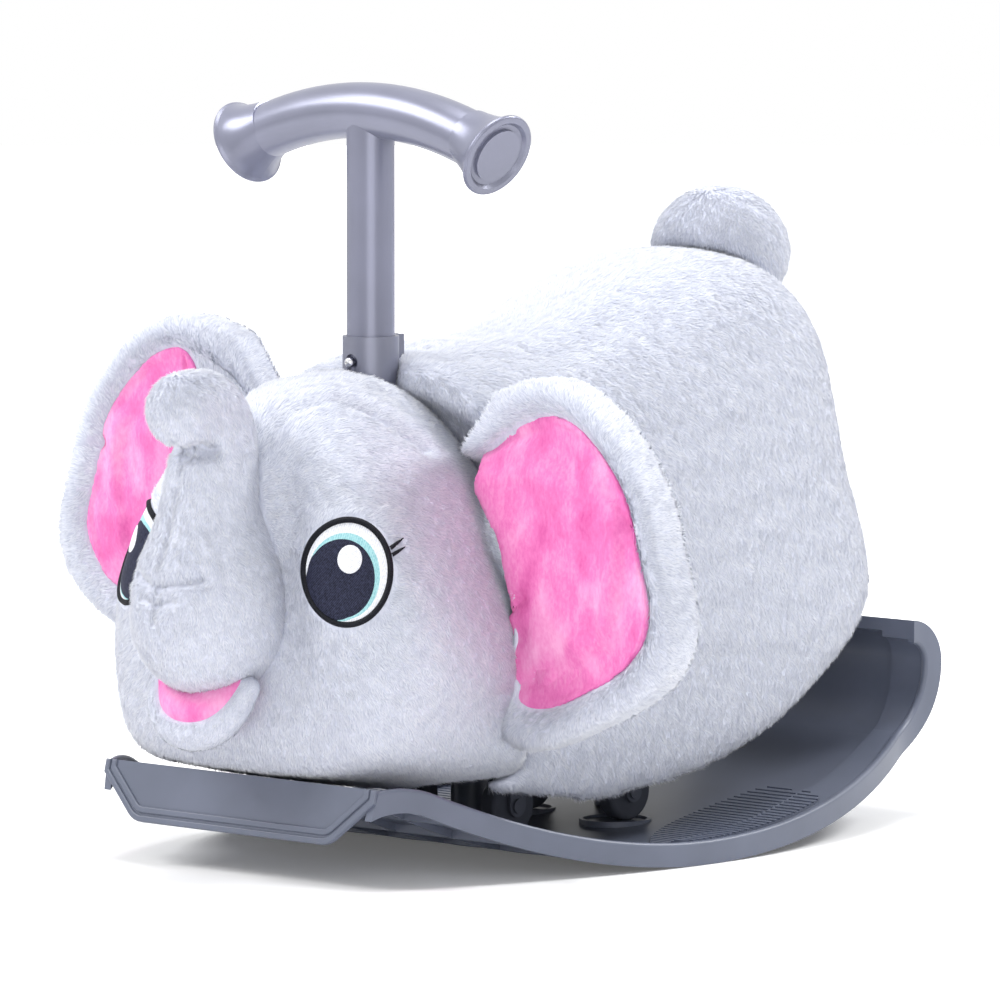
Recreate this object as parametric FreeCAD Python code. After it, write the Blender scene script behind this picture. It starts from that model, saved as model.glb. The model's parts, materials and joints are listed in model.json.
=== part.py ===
"""Plush rocking elephant: a soft ride-on standing on four casters, docked on a moulded rocker tray.

Millimetres. +X is the elephant's left, -Y its front and +Z up. Every length is measured from the
handlebar post's axis and the floor under the runner, and the finished parts are moved along Y at
the end, so that the origin is the middle of the whole object's base.
"""
import FreeCAD, Part
import math
import os

Vec = FreeCAD.Vector

# Overall reach, from the post's axis
tray_rear_reach = 439.0
trunk_front_reach = 203.0

# Rocker tray: the runner line, seen from the side
contact_y = 130.0
front_roll_radius = 540.0
rear_roll_radius = 760.0
kick_radius = 62.0
crest_radius = 30.0
hump_radius = 40.0
hump_top_z = 67.0
hump_sweep_deg = 52.0

# Rocker tray: walls and steps, measured square to the runner line
band_height = 16.0
ledge_depth = 13.0
dish_depth = 8.5
skin_wall = 3.0
band_wall = 5.5
bead_radius = 2.2
clear_height = 28.0

# Rocker tray: plan
front_half_width = 127.0
middle_half_width = 187.0
rear_half_width = 121.0
rear_blend_radius = 90.0
tray_front_reach = 138.0
crest_front_reach = 124.0
plan_rear_reach = 402.0
dish_front_y = -112.0
dish_front_inset = 8.5
ledge_start_y = 50.0
pad_inner_y = 225.0
pad_inner_x = 146.0
dish_rear_half_width = 84.0

# Front lip, the panel that hangs from the front crest
lip_bottom_z = 27.5
lip_bottom_half_width = 92.0
lip_lean = 10.0
lip_wall = 3.4
lip_corner_radius = 20.0
lip_shoulder = 9.0
lip_bead = 4.5
lip_groove = 1.6
lip_step = 1.5
lip_round = 1.2

# Ribs under the tray
rib_wall = 2.6
crest_wall = 4.0
cross_rib_pitch = 44.0
long_rib_pitch = 52.0
long_rib_reach = 156.0

# Ribbed foot grips, each half on the ledge and half in the dish
grip_front_y = 120.0
grip_rear_y = 306.0
grip_inner_x = 82.0
grip_inner_y = 235.0
grip_outer_inset = 12.0
grip_tip_width = 30.0
grip_rear_width = 62.0
grip_corner_radius = 18.0
grip_front_radius = 8.0
grip_rise = 2.6
grip_groove_pitch = 6.2
grip_groove_width = 2.6
grip_groove_depth = 1.1

# Casters and the docks they stand in
caster_x = 45.0
caster_front_y = 76.0
caster_rear_y = 190.0
dock_floor_z = 11.4
dock_radius = 22.0
dock_wall = 2.6
dock_rim = 2.0
wheel_radius = 20.0
wheel_width = 14.0
wheel_hub_radius = 6.5
wheel_hub_step = 0.5
wheel_edge_radius = 3.0
axle_radius = 3.0
axle_head_radius = 5.0
axle_head = 1.6
caster_trail = 8.0
fork_wall = 2.4
fork_width = 15.0
fork_crown = 3.6
stem_radius = 5.0
stem_length = 13.0
bush_radius = 8.0
bush_flange_radius = 12.0
bush_flange = 1.5
run_clearance = 0.05
seat_clearance = 0.3
face_clearance = 0.4

# Chassis, the moulded frame inside the plush
chassis_bottom_z = 60.0
chassis_wall = 7.0
chassis_half_width = 100.0
chassis_front_y = -46.0
chassis_rear_y = 276.0
chassis_corner_radius = 22.0
boss_radius = 13.0
boss_height = 9.0
chassis_rib_wall = 4.0
chassis_rib_height = 12.0
dock_bolt_front_y = 96.0
dock_bolt_rear_y = 237.0
dock_bolt_radius = 3.0
dock_bolt_head_radius = 6.5
dock_bolt_head = 4.0
dock_bolt_socket_share = 0.6
pillar_radius = 14.0
insert_radius = 5.0
insert_length = 10.0

# Handlebar and its socket
post_radius = 16.0
post_wall = 3.6
post_bottom_z = 232.0
bar_middle_z = 500.0
bar_arc_radius = 280.0
bar_droop_deg = 25.0
bar_radius = 18.5
flange_radius = 29.0
flange_flare_length = 30.0
flange_flare_share = 0.4
flange_rim = 4.0
flange_rim_round = 1.6
flange_dish_radius = 22.0
flange_dish = 2.2
flange_disc_radius = 17.0
flange_disc_rise = 1.2
socket_wall = 2.6
socket_top_z = 350.0
socket_slot = 3.0
socket_slot_length = 40.0
ear_lip_reach = 9.0
ear_lip_wall = 2.2
ear_lip_height = 26.0
flange_plate = 3.0
flange_plate_side = 74.0
flange_plate_corner = 8.0
gusset_wall = 3.0
gusset_height = 34.0
screw_radius = 2.5
screw_head_radius = 4.6
screw_head = 2.6
screw_inset = 9.0

# Snap button that locks the handlebar in its socket
button_z = 333.0
button_radius = 3.4
button_nose_share = 0.8
button_hole_radius = 5.5
button_pressed_proud = 0.2
button_flange_radius = 5.2
button_flange = 1.4
button_travel = 4.0
clip_wall = 0.8
clip_width = 9.0
clip_drop = 34.0

# Plush body
body_front_y = 4.0
body_half_width = 127.0
body_under_radius = 455.0
body_under_z = 39.0
body_under_y = 100.0
seat_z = 343.0
body_rear_reach = 384.0
body_rear_z = 150.0
body_rear_top_z = 399.0
cover_wall = 6.0
well_half_width = 112.0
well_front_y = 30.0
well_rear_y = 286.0
bolster_y = 343.0
bolster_z = 391.0
bolster_half_width = 54.0
bolster_half_depth = 41.0
bolster_half_height = 45.0
tail_radius = 11.0
tail_taper_share = 0.6
tail_length = 62.0
tail_lean = 22.0
tail_z = 236.0

# Plush head and face
head_front_reach = 139.0
head_rear_y = 28.0
head_half_width = 141.0
head_bottom_z = 55.0
head_top_z = 330.0
head_crest_gap = 1.2
snout_radius = 52.5
trunk_foot_z = 121.0
trunk_elbow_z = 303.0
trunk_elbow_share = 0.57
trunk_curl_reach = 48.0
trunk_curl_rise = 8.0
trunk_tip_radius = 26.0
trunk_tip_round_share = 0.85
lip_half_width = 43.0
lip_half_depth = 40.0
lip_half_height = 27.0
lip_y = -132.0
lip_z = 104.0
mouth_half_width = 36.0
mouth_half_depth = 37.0
mouth_half_height = 22.0
mouth_y = -131.0
mouth_z = 116.0
eye_x = 94.0
eye_y = -116.0
eye_z = 207.0
eye_half_width = 30.5
eye_half_height = 35.5
eye_tilt_deg = 12.0
eye_turn_deg = 38.0
eye_patch_wall = 1.2

# Ears
ear_tip_x = 289.0
ear_root_x = 84.0
ear_bottom_z = 88.0
ear_top_z = 330.0
ear_right_rise = 26.0
ear_root_y = -8.0
ear_sweep_deg = -4.0
ear_wall = 26.0
lining_inset = 24.0
lining_wall = 6.0
lining_sink = 3.0

# One overrun serves every cut
over = 1.0

# What two lengths may differ by and still count as alike
near_enough = 0.1

tray_half_reach = middle_half_width + clear_height
parts = {}


def point(y, z):
    """A point of a side profile."""
    return Vec(0, y, z)


def box(x0, x1, y0, y1, z0, z1):
    """A box between two corners."""
    return Part.makeBox(x1 - x0, y1 - y0, z1 - z0, Vec(x0, y0, z0))


def upright(radius, z0, z1, x=0, y=0):
    """A vertical cylinder."""
    return Part.makeCylinder(radius, z1 - z0, Vec(x, y, z0))


def crosswise(radius, x0, x1, y, z):
    """A cylinder along X."""
    return Part.makeCylinder(radius, x1 - x0, Vec(x0, y, z), Vec(1, 0, 0))


def forwards(radius, length, y=0):
    """A cylinder towards the front at the snap button's height."""
    return Part.makeCylinder(radius, length, Vec(0, y, button_z), Vec(0, -1, 0))


def face_of(edges):
    """A flat face inside closed edges."""
    return Part.Face(Part.Wire(edges))


def lines(points):
    """Straight edges through points, closed."""
    return [Part.makeLine(a, b) for a, b in zip(points, points[1:] + points[:1])]


def arc(first, middle, last):
    """An arc through three points."""
    return Part.Arc(first, middle, last).toShape()


def turn_arc(centre_y, centre_z, radius, start_deg, end_deg):
    """An arc of the side profile, its angles counted from +Y towards +Z."""
    def at(angle):
        turn = math.radians(angle)
        return point(centre_y + radius * math.cos(turn), centre_z + radius * math.sin(turn))
    return arc(at(start_deg), at((start_deg + end_deg) / 2), at(end_deg))


def mirror_x(shape):
    """The same shape on the other side."""
    return shape.mirror(Vec(0, 0, 0), Vec(1, 0, 0))


def mirror_point(spot):
    """The same point on the other side."""
    return Vec(-spot.x, spot.y, spot.z)


def is_upright(edge):
    """Whether an edge runs straight up."""
    return edge.BoundBox.XLength < near_enough and edge.BoundBox.YLength < near_enough


def both_sides(shape):
    """A shape and its mirror image."""
    return [shape, mirror_x(shape)]


def joined(shapes):
    """One shape from several that touch."""
    first, rest = shapes[0], shapes[1:]
    return first.fuse(rest).removeSplitter() if rest else first


def scaled_ball(centre, half_x, half_y, half_z):
    """An ellipsoid."""
    grow = FreeCAD.Matrix()
    grow.scale(half_x, half_y, half_z)
    ball = Part.makeSphere(1).transformGeometry(grow)
    ball.translate(centre)
    return ball


def circle_through(ends):
    """Centre and radius of the plan circle through three (x, y) points."""
    (ax, ay), (bx, by), (cx, cy) = ends
    d = 2 * (ax * (by - cy) + bx * (cy - ay) + cx * (ay - by))
    a2, b2, c2 = ax * ax + ay * ay, bx * bx + by * by, cx * cx + cy * cy
    ux = (a2 * (by - cy) + b2 * (cy - ay) + c2 * (ay - by)) / d
    uy = (a2 * (cx - bx) + b2 * (ax - cx) + c2 * (bx - ax)) / d
    return ux, uy, math.hypot(ax - ux, ay - uy)


def x_on_arc(ends, y):
    """The X of a plan arc through three (x, y) points, at a given Y."""
    centre_x, centre_y, radius = circle_through(ends)
    return centre_x + math.sqrt(radius ** 2 - (y - centre_y) ** 2)


# The runner line: hump, front roll, rear roll, kick and crest, all tangent to each other
hump_z = hump_top_z - hump_radius - band_height
hump_y = contact_y - math.sqrt((front_roll_radius + hump_radius) ** 2 - (front_roll_radius - hump_z) ** 2)
hump_join_deg = math.degrees(math.atan2(front_roll_radius - hump_z, contact_y - hump_y))
kick_turn = math.asin((tray_rear_reach - kick_radius - contact_y) / (rear_roll_radius - kick_radius))
kick_y = contact_y + (rear_roll_radius - kick_radius) * math.sin(kick_turn)
kick_z = rear_roll_radius - (rear_roll_radius - kick_radius) * math.cos(kick_turn)
crest_y = kick_y + kick_radius - crest_radius
kick_deg = 270 + math.degrees(kick_turn)


def runner_line(depth):
    """The runner line's arcs, moved square to itself into the tray by depth."""
    return [
        turn_arc(hump_y, hump_z, hump_radius + depth, 90 + hump_sweep_deg, hump_join_deg),
        turn_arc(contact_y, front_roll_radius, front_roll_radius - depth, 180 + hump_join_deg, 270),
        turn_arc(contact_y, rear_roll_radius, rear_roll_radius - depth, 270, kick_deg),
        turn_arc(kick_y, kick_z, kick_radius - depth, kick_deg, 360),
        turn_arc(crest_y, kick_z, crest_radius - depth, 0, 90),
    ]


def layer(low, high, half=tray_half_reach):
    """The band of space between two depths of the runner line, right across the tray."""
    outer, inner = runner_line(low), runner_line(high)
    ends = [
        Part.makeLine(outer[0].Vertexes[0].Point, inner[0].Vertexes[0].Point),
        Part.makeLine(outer[-1].Vertexes[-1].Point, inner[-1].Vertexes[-1].Point),
    ]
    side = face_of(Part.sortEdges(outer + inner + ends)[0])
    side.translate(Vec(-half, 0, 0))
    return side.extrude(Vec(2 * half, 0, 0))


def runner_height(depth, y):
    """How high the rolling part of the runner line lies at a given Y."""
    radius = front_roll_radius if y < contact_y else rear_roll_radius
    return radius - math.sqrt((radius - depth) ** 2 - (y - contact_y) ** 2)


side_arc = ((front_half_width, -crest_front_reach), (middle_half_width, contact_y),
            (rear_half_width, plan_rear_reach))

# Behind the side arc a hollow blend leads into sides that run straight back
side_x, side_y, side_radius = circle_through(side_arc)
blend_x = rear_half_width + rear_blend_radius
blend_y = side_y + math.sqrt((side_radius + rear_blend_radius) ** 2 - (blend_x - side_x) ** 2)


def around(centre_x, centre_y, radius, turn):
    """A point of the plan, by its angle about a centre."""
    return Vec(centre_x + radius * math.cos(turn), centre_y + radius * math.sin(turn), 0)


def plan_face(inset):
    """The tray's outline from above, its sides drawn in by inset."""
    convex, hollow = side_radius - inset, rear_blend_radius + inset
    front, rear = -tray_front_reach, tray_rear_reach + over
    first = math.asin((front - side_y) / convex)
    join = math.atan2(blend_y - side_y, blend_x - side_x)
    near, touch = around(side_x, side_y, convex, first), around(side_x, side_y, convex, join)
    side = arc(near, around(side_x, side_y, convex, (first + join) / 2), touch)
    straight, far = Vec(rear_half_width - inset, blend_y, 0), Vec(rear_half_width - inset, rear, 0)
    blend = arc(touch, around(blend_x, blend_y, hollow, math.pi + join / 2), straight)
    edges = [side, blend, Part.makeLine(straight, far)]
    edges += [mirror_x(edge) for edge in edges]
    edges += [Part.makeLine(near, mirror_point(near)), Part.makeLine(far, mirror_point(far))]
    return Part.Face(Part.Wire(Part.sortEdges(edges)[0]))


def raise_plan(face):
    """A plan face stretched through the tray's whole height."""
    face = face.copy()
    face.translate(Vec(0, 0, -over))
    return face.extrude(Vec(0, 0, kick_z + crest_radius + 2 * over))


def dish_face(grow):
    """The outline of the dish from above, moved out by grow."""
    front_arc_x = x_on_arc(side_arc, dish_front_y) - dish_front_inset
    start_x = x_on_arc(side_arc, ledge_start_y) - dish_front_inset
    half_y = (dish_front_y + ledge_start_y) / 2
    front = [Vec(front_arc_x, dish_front_y, 0), Vec(x_on_arc(side_arc, half_y) - dish_front_inset, half_y, 0)]
    rear_y = plan_rear_reach + crest_radius
    sweep = [Vec(start_x, ledge_start_y, 0), Vec(pad_inner_x, pad_inner_y, 0),
             Vec(dish_rear_half_width, rear_y, 0)]

    def flip(points):
        return [mirror_point(spot) for spot in points]
    edges = []
    for a, b in ((front, sweep), (flip(front), flip(sweep))):
        edges += [arc(a[0], a[1], b[0]), arc(*b)]
    edges += [Part.makeLine(front[0], flip(front)[0]), Part.makeLine(sweep[2], flip(sweep)[2])]
    outline = Part.Wire(Part.sortEdges(edges)[0])
    return Part.Face(outline.makeOffset2D(grow, 2) if grow else outline)


lip_turn_deg = math.degrees(math.atan2(lip_lean, hump_top_z - lip_bottom_z))


def lean(shape):
    """Lean an upright panel forward at its foot, about the front crest."""
    shape = shape.copy()
    shape.rotate(Vec(0, -crest_front_reach, hump_top_z), Vec(1, 0, 0), -lip_turn_deg)
    return shape


def lip_panel(inset, front, back):
    """The front lip's upright trapezoid between two depths, drawn in by inset but open at the top."""
    top, low = hump_top_z + (inset + over if inset else 0), lip_bottom_z + inset
    corners = [Vec(front_half_width, 0, top), Vec(front_half_width, 0, hump_top_z - lip_shoulder),
               Vec(lip_bottom_half_width, 0, lip_bottom_z)]
    corners += [mirror_point(corner) for corner in reversed(corners)]
    outline = Part.Wire(lines(corners))
    if inset:
        outline = outline.makeOffset2D(-inset, 2)
    panel = Part.Face(outline).extrude(Vec(0, back - front, 0))
    rounded = [e for e in panel.Edges if abs(e.BoundBox.ZMax - low) < near_enough
               and e.BoundBox.YLength > near_enough and e.BoundBox.XLength < near_enough]
    panel = panel.makeFillet(lip_corner_radius - inset, rounded)
    panel.translate(Vec(0, -crest_front_reach + front, 0))
    return panel


def make_lip():
    """The leaning front lip: a thin panel with two rounded beads down its sides and along its foot."""
    groove = lip_panel(lip_bead, -over, lip_step)
    groove = groove.cut(lip_panel(lip_bead + lip_groove, -2 * over, lip_step + over))
    hollow = lip_panel(2 * lip_bead + lip_groove, -over, lip_step)
    lip = lip_panel(0, 0, lip_wall).cut(groove).cut(hollow)
    fronts = [e for e in lip.Edges if e.BoundBox.YMax < -crest_front_reach + near_enough]
    return lean(lip.makeFillet(lip_round, fronts))


def crest_cutter(behind):
    """Everything in front of a plane a given depth behind the leaning front lip's face."""
    reach = tray_half_reach
    face_y = -crest_front_reach + behind
    return lean(box(-reach, reach, face_y - reach, face_y, -reach, hump_top_z + reach))


def spaced(first, last, pitch):
    """Evenly spaced places between two limits, about as far apart as the pitch."""
    count = max(1, round((last - first) / pitch))
    return [first + (last - first) * i / count for i in range(count + 1)]


def casters():
    """Name and place of each caster."""
    for end, y in (("front", caster_front_y), ("rear", caster_rear_y)):
        for side, x in (("left", caster_x), ("right", -caster_x)):
            yield f"{end}_{side}", x, y


def lies_at_depth(edge, depth):
    """Whether an edge runs along the tray at one depth of the runner line."""
    middle = edge.valueAt((edge.FirstParameter + edge.LastParameter) / 2)
    line = Part.Wire(Part.sortEdges(runner_line(depth))[0])
    line.translate(Vec(middle.x, 0, 0))
    return line.distToShape(Part.Vertex(middle))[0] < near_enough / 2


def dock_bolts_y():
    """How far back each dock bolt stands, on the middle line."""
    return dock_bolt_front_y, dock_bolt_rear_y


def make_ribs(inner):
    """The crossing ribs under the tray, inside its band and up to its skin."""
    top = kick_z + crest_radius
    ribs = []
    for y in spaced(-crest_front_reach + rib_wall, kick_y, cross_rib_pitch):
        ribs.append(box(-tray_half_reach, tray_half_reach, y, y + rib_wall, -over, kick_z))
    for x in spaced(-long_rib_reach, long_rib_reach, long_rib_pitch):
        ribs.append(box(x - rib_wall / 2, x + rib_wall / 2, -tray_half_reach, tray_rear_reach, -over, top))
    return ribs[0].fuse(ribs[1:]).common(inner).common(layer(over / 2, dish_depth - skin_wall / 2))


def make_tray():
    """The moulded rocker: band with its bead, ledge, dish, crest, docks, pillars, ribs and front lip."""
    outer = raise_plan(plan_face(0))
    inner = raise_plan(plan_face(band_wall))
    inside_dish = raise_plan(dish_face(0))
    above_dish = layer(dish_depth, clear_height).common(inside_dish)
    under_skin = layer(-clear_height, dish_depth - skin_wall / 2)
    reach, top = tray_half_reach, kick_z + crest_radius
    band = layer(0, band_height).common(outer).cut(inner)
    band = band.makeFillet(bead_radius, [e for e in band.Edges if lies_at_depth(e, band_height)])
    rear_wall = layer(0, skin_wall).common(inner).common(box(-reach, reach, kick_y, tray_rear_reach, 0, top))
    crest_box = box(-reach, reach, crest_y, crest_y + crest_wall, kick_z, top)
    crest = layer(0, ledge_depth).common(inner).common(crest_box)
    skin = layer(ledge_depth - skin_wall, ledge_depth).common(inner).cut(inside_dish)
    wall = layer(dish_depth - skin_wall, ledge_depth).common(raise_plan(dish_face(skin_wall)).common(inner))
    tray = band.fuse([skin, wall.cut(above_dish), make_ribs(inner), rear_wall, crest.cut(above_dish)])
    for _, x, y in casters():
        pan = upright(dock_radius + dock_wall, dock_floor_z - skin_wall, dock_floor_z + dock_rim, x, y)
        tray = tray.fuse(pan)
    for y in dock_bolts_y():
        tray = tray.fuse(upright(pillar_radius, 0, chassis_bottom_z, 0, y).cut(under_skin))
    for _, x, y in casters():
        tray = tray.cut(upright(dock_radius, dock_floor_z, chassis_bottom_z, x, y))
        hollow = upright(dock_radius, 0, dock_floor_z - skin_wall, x, y)
        tray = tray.cut(hollow.common(layer(-over, clear_height)))
    for y in dock_bolts_y():
        tray = tray.cut(upright(dock_bolt_radius + seat_clearance, -over, chassis_bottom_z + over, 0, y))
        tray = tray.cut(upright(dock_bolt_head_radius + seat_clearance, -over, dock_bolt_seat_z(y), 0, y))
    return tray.cut(crest_cutter((lip_step + lip_wall) / 2)).fuse(make_lip())


def dock_bolt_seat_z(y):
    """The height of the face that a dock bolt's head bears on."""
    return runner_height(dish_depth, y) + skin_wall


def grip_face():
    """The left foot grip's outline from above, blunt at both ends."""
    def side(y):
        return Vec(x_on_arc(side_arc, y) - grip_outer_inset, y, 0)
    rear_side_y = grip_rear_y - grip_rear_width / 2
    front, rear_side = side(grip_front_y), side(rear_side_y)
    tip = front - Vec(grip_tip_width, 0, 0)
    rear = side(grip_rear_y) - Vec(grip_rear_width, 0, 0)
    edges = [arc(tip, Vec(grip_inner_x, grip_inner_y, 0), rear), Part.makeLine(rear, rear_side),
             arc(rear_side, side((grip_front_y + rear_side_y) / 2), front), Part.makeLine(front, tip)]
    return Part.Face(Part.Wire(Part.sortEdges(edges)[0]))


def make_foot_grip():
    """The left foot grip: a thin pad over ledge, bank and dish, grooved across."""
    plan = raise_plan(grip_face())
    corners = [e for e in plan.Edges if is_upright(e)]
    plan = plan.makeFillet(grip_corner_radius, [e for e in corners if e.CenterOfMass.y > grip_inner_y])
    corners = [e for e in plan.Edges if is_upright(e)]
    corners = [e for e in corners if e.CenterOfMass.y < grip_front_y + near_enough]
    plan = plan.makeFillet(grip_front_radius, corners)
    in_dish = plan.common(raise_plan(dish_face(0)))
    on_floor = plan.common(raise_plan(dish_face(-grip_rise)))
    groove_low = grip_rise - grip_groove_depth
    grooves = []
    for y in spaced(grip_front_y + grip_groove_pitch, grip_rear_y - grip_groove_pitch, grip_groove_pitch):
        grooves.append(box(0, tray_half_reach, y - grip_groove_width / 2, y + grip_groove_width / 2,
                           0, kick_z + crest_radius))
    grooves = Part.makeCompound(grooves)
    upper = layer(ledge_depth, ledge_depth + grip_rise).common(plan.cut(in_dish))
    upper = upper.cut(layer(ledge_depth + groove_low, clear_height).common(grooves))
    lower = layer(dish_depth, dish_depth + grip_rise).common(on_floor)
    lower = lower.cut(layer(dish_depth + groove_low, clear_height).common(grooves))
    bank = layer(dish_depth, ledge_depth + groove_low).common(in_dish.cut(on_floor))
    return largest(upper.fuse([lower, bank]))


def make_chassis():
    """The moulded frame in the plush: a ribbed plate with bosses for casters, bolts and socket."""
    plate = box(-chassis_half_width, chassis_half_width, chassis_front_y, chassis_rear_y,
                chassis_bottom_z, chassis_bottom_z + chassis_wall)
    plate = plate.makeFillet(chassis_corner_radius, [e for e in plate.Edges if is_upright(e)])
    top = chassis_bottom_z + chassis_wall
    pieces = [plate]
    for _, x, y in casters():
        pieces.append(upright(boss_radius, top - over, top + boss_height, x, y))
    for y in dock_bolts_y():
        pieces.append(upright(boss_radius, top - over, top + boss_height, 0, y))
    rib_front = flange_plate_side / 2 + chassis_rib_wall
    for x in (-caster_x, 0, caster_x):
        pieces.append(box(x - chassis_rib_wall / 2, x + chassis_rib_wall / 2, rib_front,
                          chassis_rear_y - chassis_corner_radius, top - over, top + chassis_rib_height))
    for y in (caster_front_y, caster_rear_y):
        pieces.append(box(-caster_x, caster_x, y - chassis_rib_wall / 2, y + chassis_rib_wall / 2,
                          top - over, top + chassis_rib_height))
    chassis = joined(pieces)
    for _, x, y in casters():
        chassis = chassis.cut(upright(bush_radius, chassis_bottom_z - over, bush_top_z, x, y))
        flange_top = chassis_bottom_z + bush_flange
        chassis = chassis.cut(upright(bush_flange_radius, chassis_bottom_z - over, flange_top, x, y))
    for y in dock_bolts_y():
        insert_top = chassis_bottom_z + insert_length
        chassis = chassis.cut(upright(insert_radius, chassis_bottom_z - over, insert_top, 0, y))
    for x, y in screw_places():
        chassis = chassis.cut(upright(screw_radius, chassis_bottom_z - over, top + over, x, y))
    return chassis


bush_top_z = chassis_bottom_z + stem_length


def screw_places():
    """The four corners of the socket's flange plate."""
    reach = flange_plate_side / 2 - screw_inset
    return [(x, y) for x in (-reach, reach) for y in (-reach, reach)]


def make_caster(name, x, y):
    """One swivel caster: bush, fork, axle and wheel, standing in its dock."""
    axle_z = dock_floor_z + seat_clearance + wheel_radius
    axle_y = y + caster_trail
    wheel = crosswise(wheel_radius, x - wheel_width / 2, x + wheel_width / 2, axle_y, axle_z)
    wheel = wheel.makeFillet(wheel_edge_radius, [e for e in wheel.Edges if e.BoundBox.ZLength > wheel_radius])
    hub_half = wheel_width / 2 + wheel_hub_step
    hub = crosswise(wheel_hub_radius, x - hub_half, x + hub_half, axle_y, axle_z)
    wheel = wheel.fuse(hub).removeSplitter()
    bore = crosswise(axle_radius + run_clearance, x - wheel_width, x + wheel_width, axle_y, axle_z)
    wheel = wheel.cut(bore)
    cheek_in = hub_half + face_clearance
    cheek_out = cheek_in + fork_wall
    crown_low = axle_z + wheel_radius + over
    crown_high = crown_low + fork_crown
    half = fork_width / 2
    crown = box(x - cheek_out, x + cheek_out, y - half, axle_y + half, crown_low, crown_high)
    pieces = [crown]
    for side in (-1, 1):
        low, high = sorted((side * cheek_in, side * cheek_out))
        pieces.append(box(x + low, x + high, axle_y - half, axle_y + half, axle_z, crown_low + over))
        pieces.append(crosswise(half, x + low, x + high, axle_y, axle_z))
    pieces.append(upright(stem_radius, crown_high - over, bush_top_z - seat_clearance, x, y))
    fork = joined(pieces)
    fork = fork.cut(crosswise(axle_radius, x - cheek_out - over, x + cheek_out + over, axle_y, axle_z))
    axle = crosswise(axle_radius, x - cheek_out - axle_head, x + cheek_out + axle_head, axle_y, axle_z)
    for side in (-1, 1):
        low, high = sorted((side * cheek_out, side * (cheek_out + axle_head)))
        axle = axle.fuse(crosswise(axle_head_radius, x + low, x + high, axle_y, axle_z))
    bush = upright(bush_radius, chassis_bottom_z + bush_flange, bush_top_z, x, y)
    flange = upright(bush_flange_radius, chassis_bottom_z, chassis_bottom_z + bush_flange, x, y)
    bush = bush.fuse(flange).removeSplitter()
    bush = bush.cut(upright(stem_radius + run_clearance, crown_high, bush_top_z + over, x, y))
    parts[f"caster_fork_{name}"] = fork
    parts[f"caster_wheel_{name}"] = wheel
    parts[f"caster_axle_{name}"] = axle.removeSplitter()
    return bush


def make_dock_bolts():
    """The two bolts that hold the ride-on down on the tray, and their threaded inserts."""
    bolts, inserts = [], []
    tip = chassis_bottom_z + insert_length
    for y in dock_bolts_y():
        seat = dock_bolt_seat_z(y)
        head = upright(dock_bolt_head_radius, seat - dock_bolt_head, seat, 0, y)
        bolt = head.fuse(upright(dock_bolt_radius, seat, tip, 0, y)).removeSplitter()
        bolts.append(bolt.cut(dock_socket(seat, y)))
        sleeve = upright(insert_radius, chassis_bottom_z, tip, 0, y)
        inserts.append(sleeve.cut(upright(dock_bolt_radius, chassis_bottom_z - over, tip + over, 0, y)))
    parts["dock_bolts"] = Part.makeCompound(bolts)
    parts["threaded_inserts"] = Part.makeCompound(inserts)


def dock_socket(seat, y):
    """The hexagon recess in a bolt's head."""
    low = seat - dock_bolt_head - over
    corners = []
    for turn in range(0, 360, 60):
        spot = around(0, y, dock_bolt_radius, math.radians(turn))
        corners.append(spot + Vec(0, 0, low))
    return face_of(lines(corners)).extrude(Vec(0, 0, dock_bolt_head * dock_bolt_socket_share + over))


def make_socket():
    """The steel socket: split tube with a turned-out lip, flange plate and two gussets."""
    bore = post_radius + seat_clearance
    outer = bore + socket_wall
    base = chassis_bottom_z + chassis_wall
    side = flange_plate_side / 2
    plate = box(-side, side, -side, side, base, base + flange_plate)
    plate = plate.makeFillet(flange_plate_corner, [e for e in plate.Edges if is_upright(e)])
    tube = upright(outer, base + flange_plate / 2, socket_top_z)
    lip_out = outer + ear_lip_reach
    lips = box(-socket_slot / 2 - ear_lip_wall, socket_slot / 2 + ear_lip_wall, bore, lip_out,
               socket_top_z - ear_lip_height, socket_top_z)
    gussets = []
    low, root = base + flange_plate, outer - socket_wall / 2
    for sign in (-1, 1):
        corners = [Vec(-gusset_wall / 2, sign * root, low), Vec(-gusset_wall / 2, sign * (side - over), low),
                   Vec(-gusset_wall / 2, sign * root, low + gusset_height)]
        gussets.append(face_of(lines(corners)).extrude(Vec(gusset_wall, 0, 0)))
    socket = joined([plate, tube, lips] + gussets)
    socket = socket.cut(upright(bore, base + flange_plate, socket_top_z + over))
    socket = socket.cut(box(-socket_slot / 2, socket_slot / 2, 0, lip_out + over,
                            socket_top_z - socket_slot_length, socket_top_z + over))
    socket = socket.cut(forwards(button_hole_radius, outer + over))
    for x, y in screw_places():
        socket = socket.cut(upright(screw_radius, base - over, base + flange_plate + over, x, y))
    parts["handle_socket"] = socket
    screws = []
    for x, y in screw_places():
        shank = upright(screw_radius, chassis_bottom_z, base + flange_plate, x, y)
        head = upright(screw_head_radius, base + flange_plate, base + flange_plate + screw_head, x, y)
        screws.append(shank.fuse(head).removeSplitter())
    parts["socket_screws"] = Part.makeCompound(screws)


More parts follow.
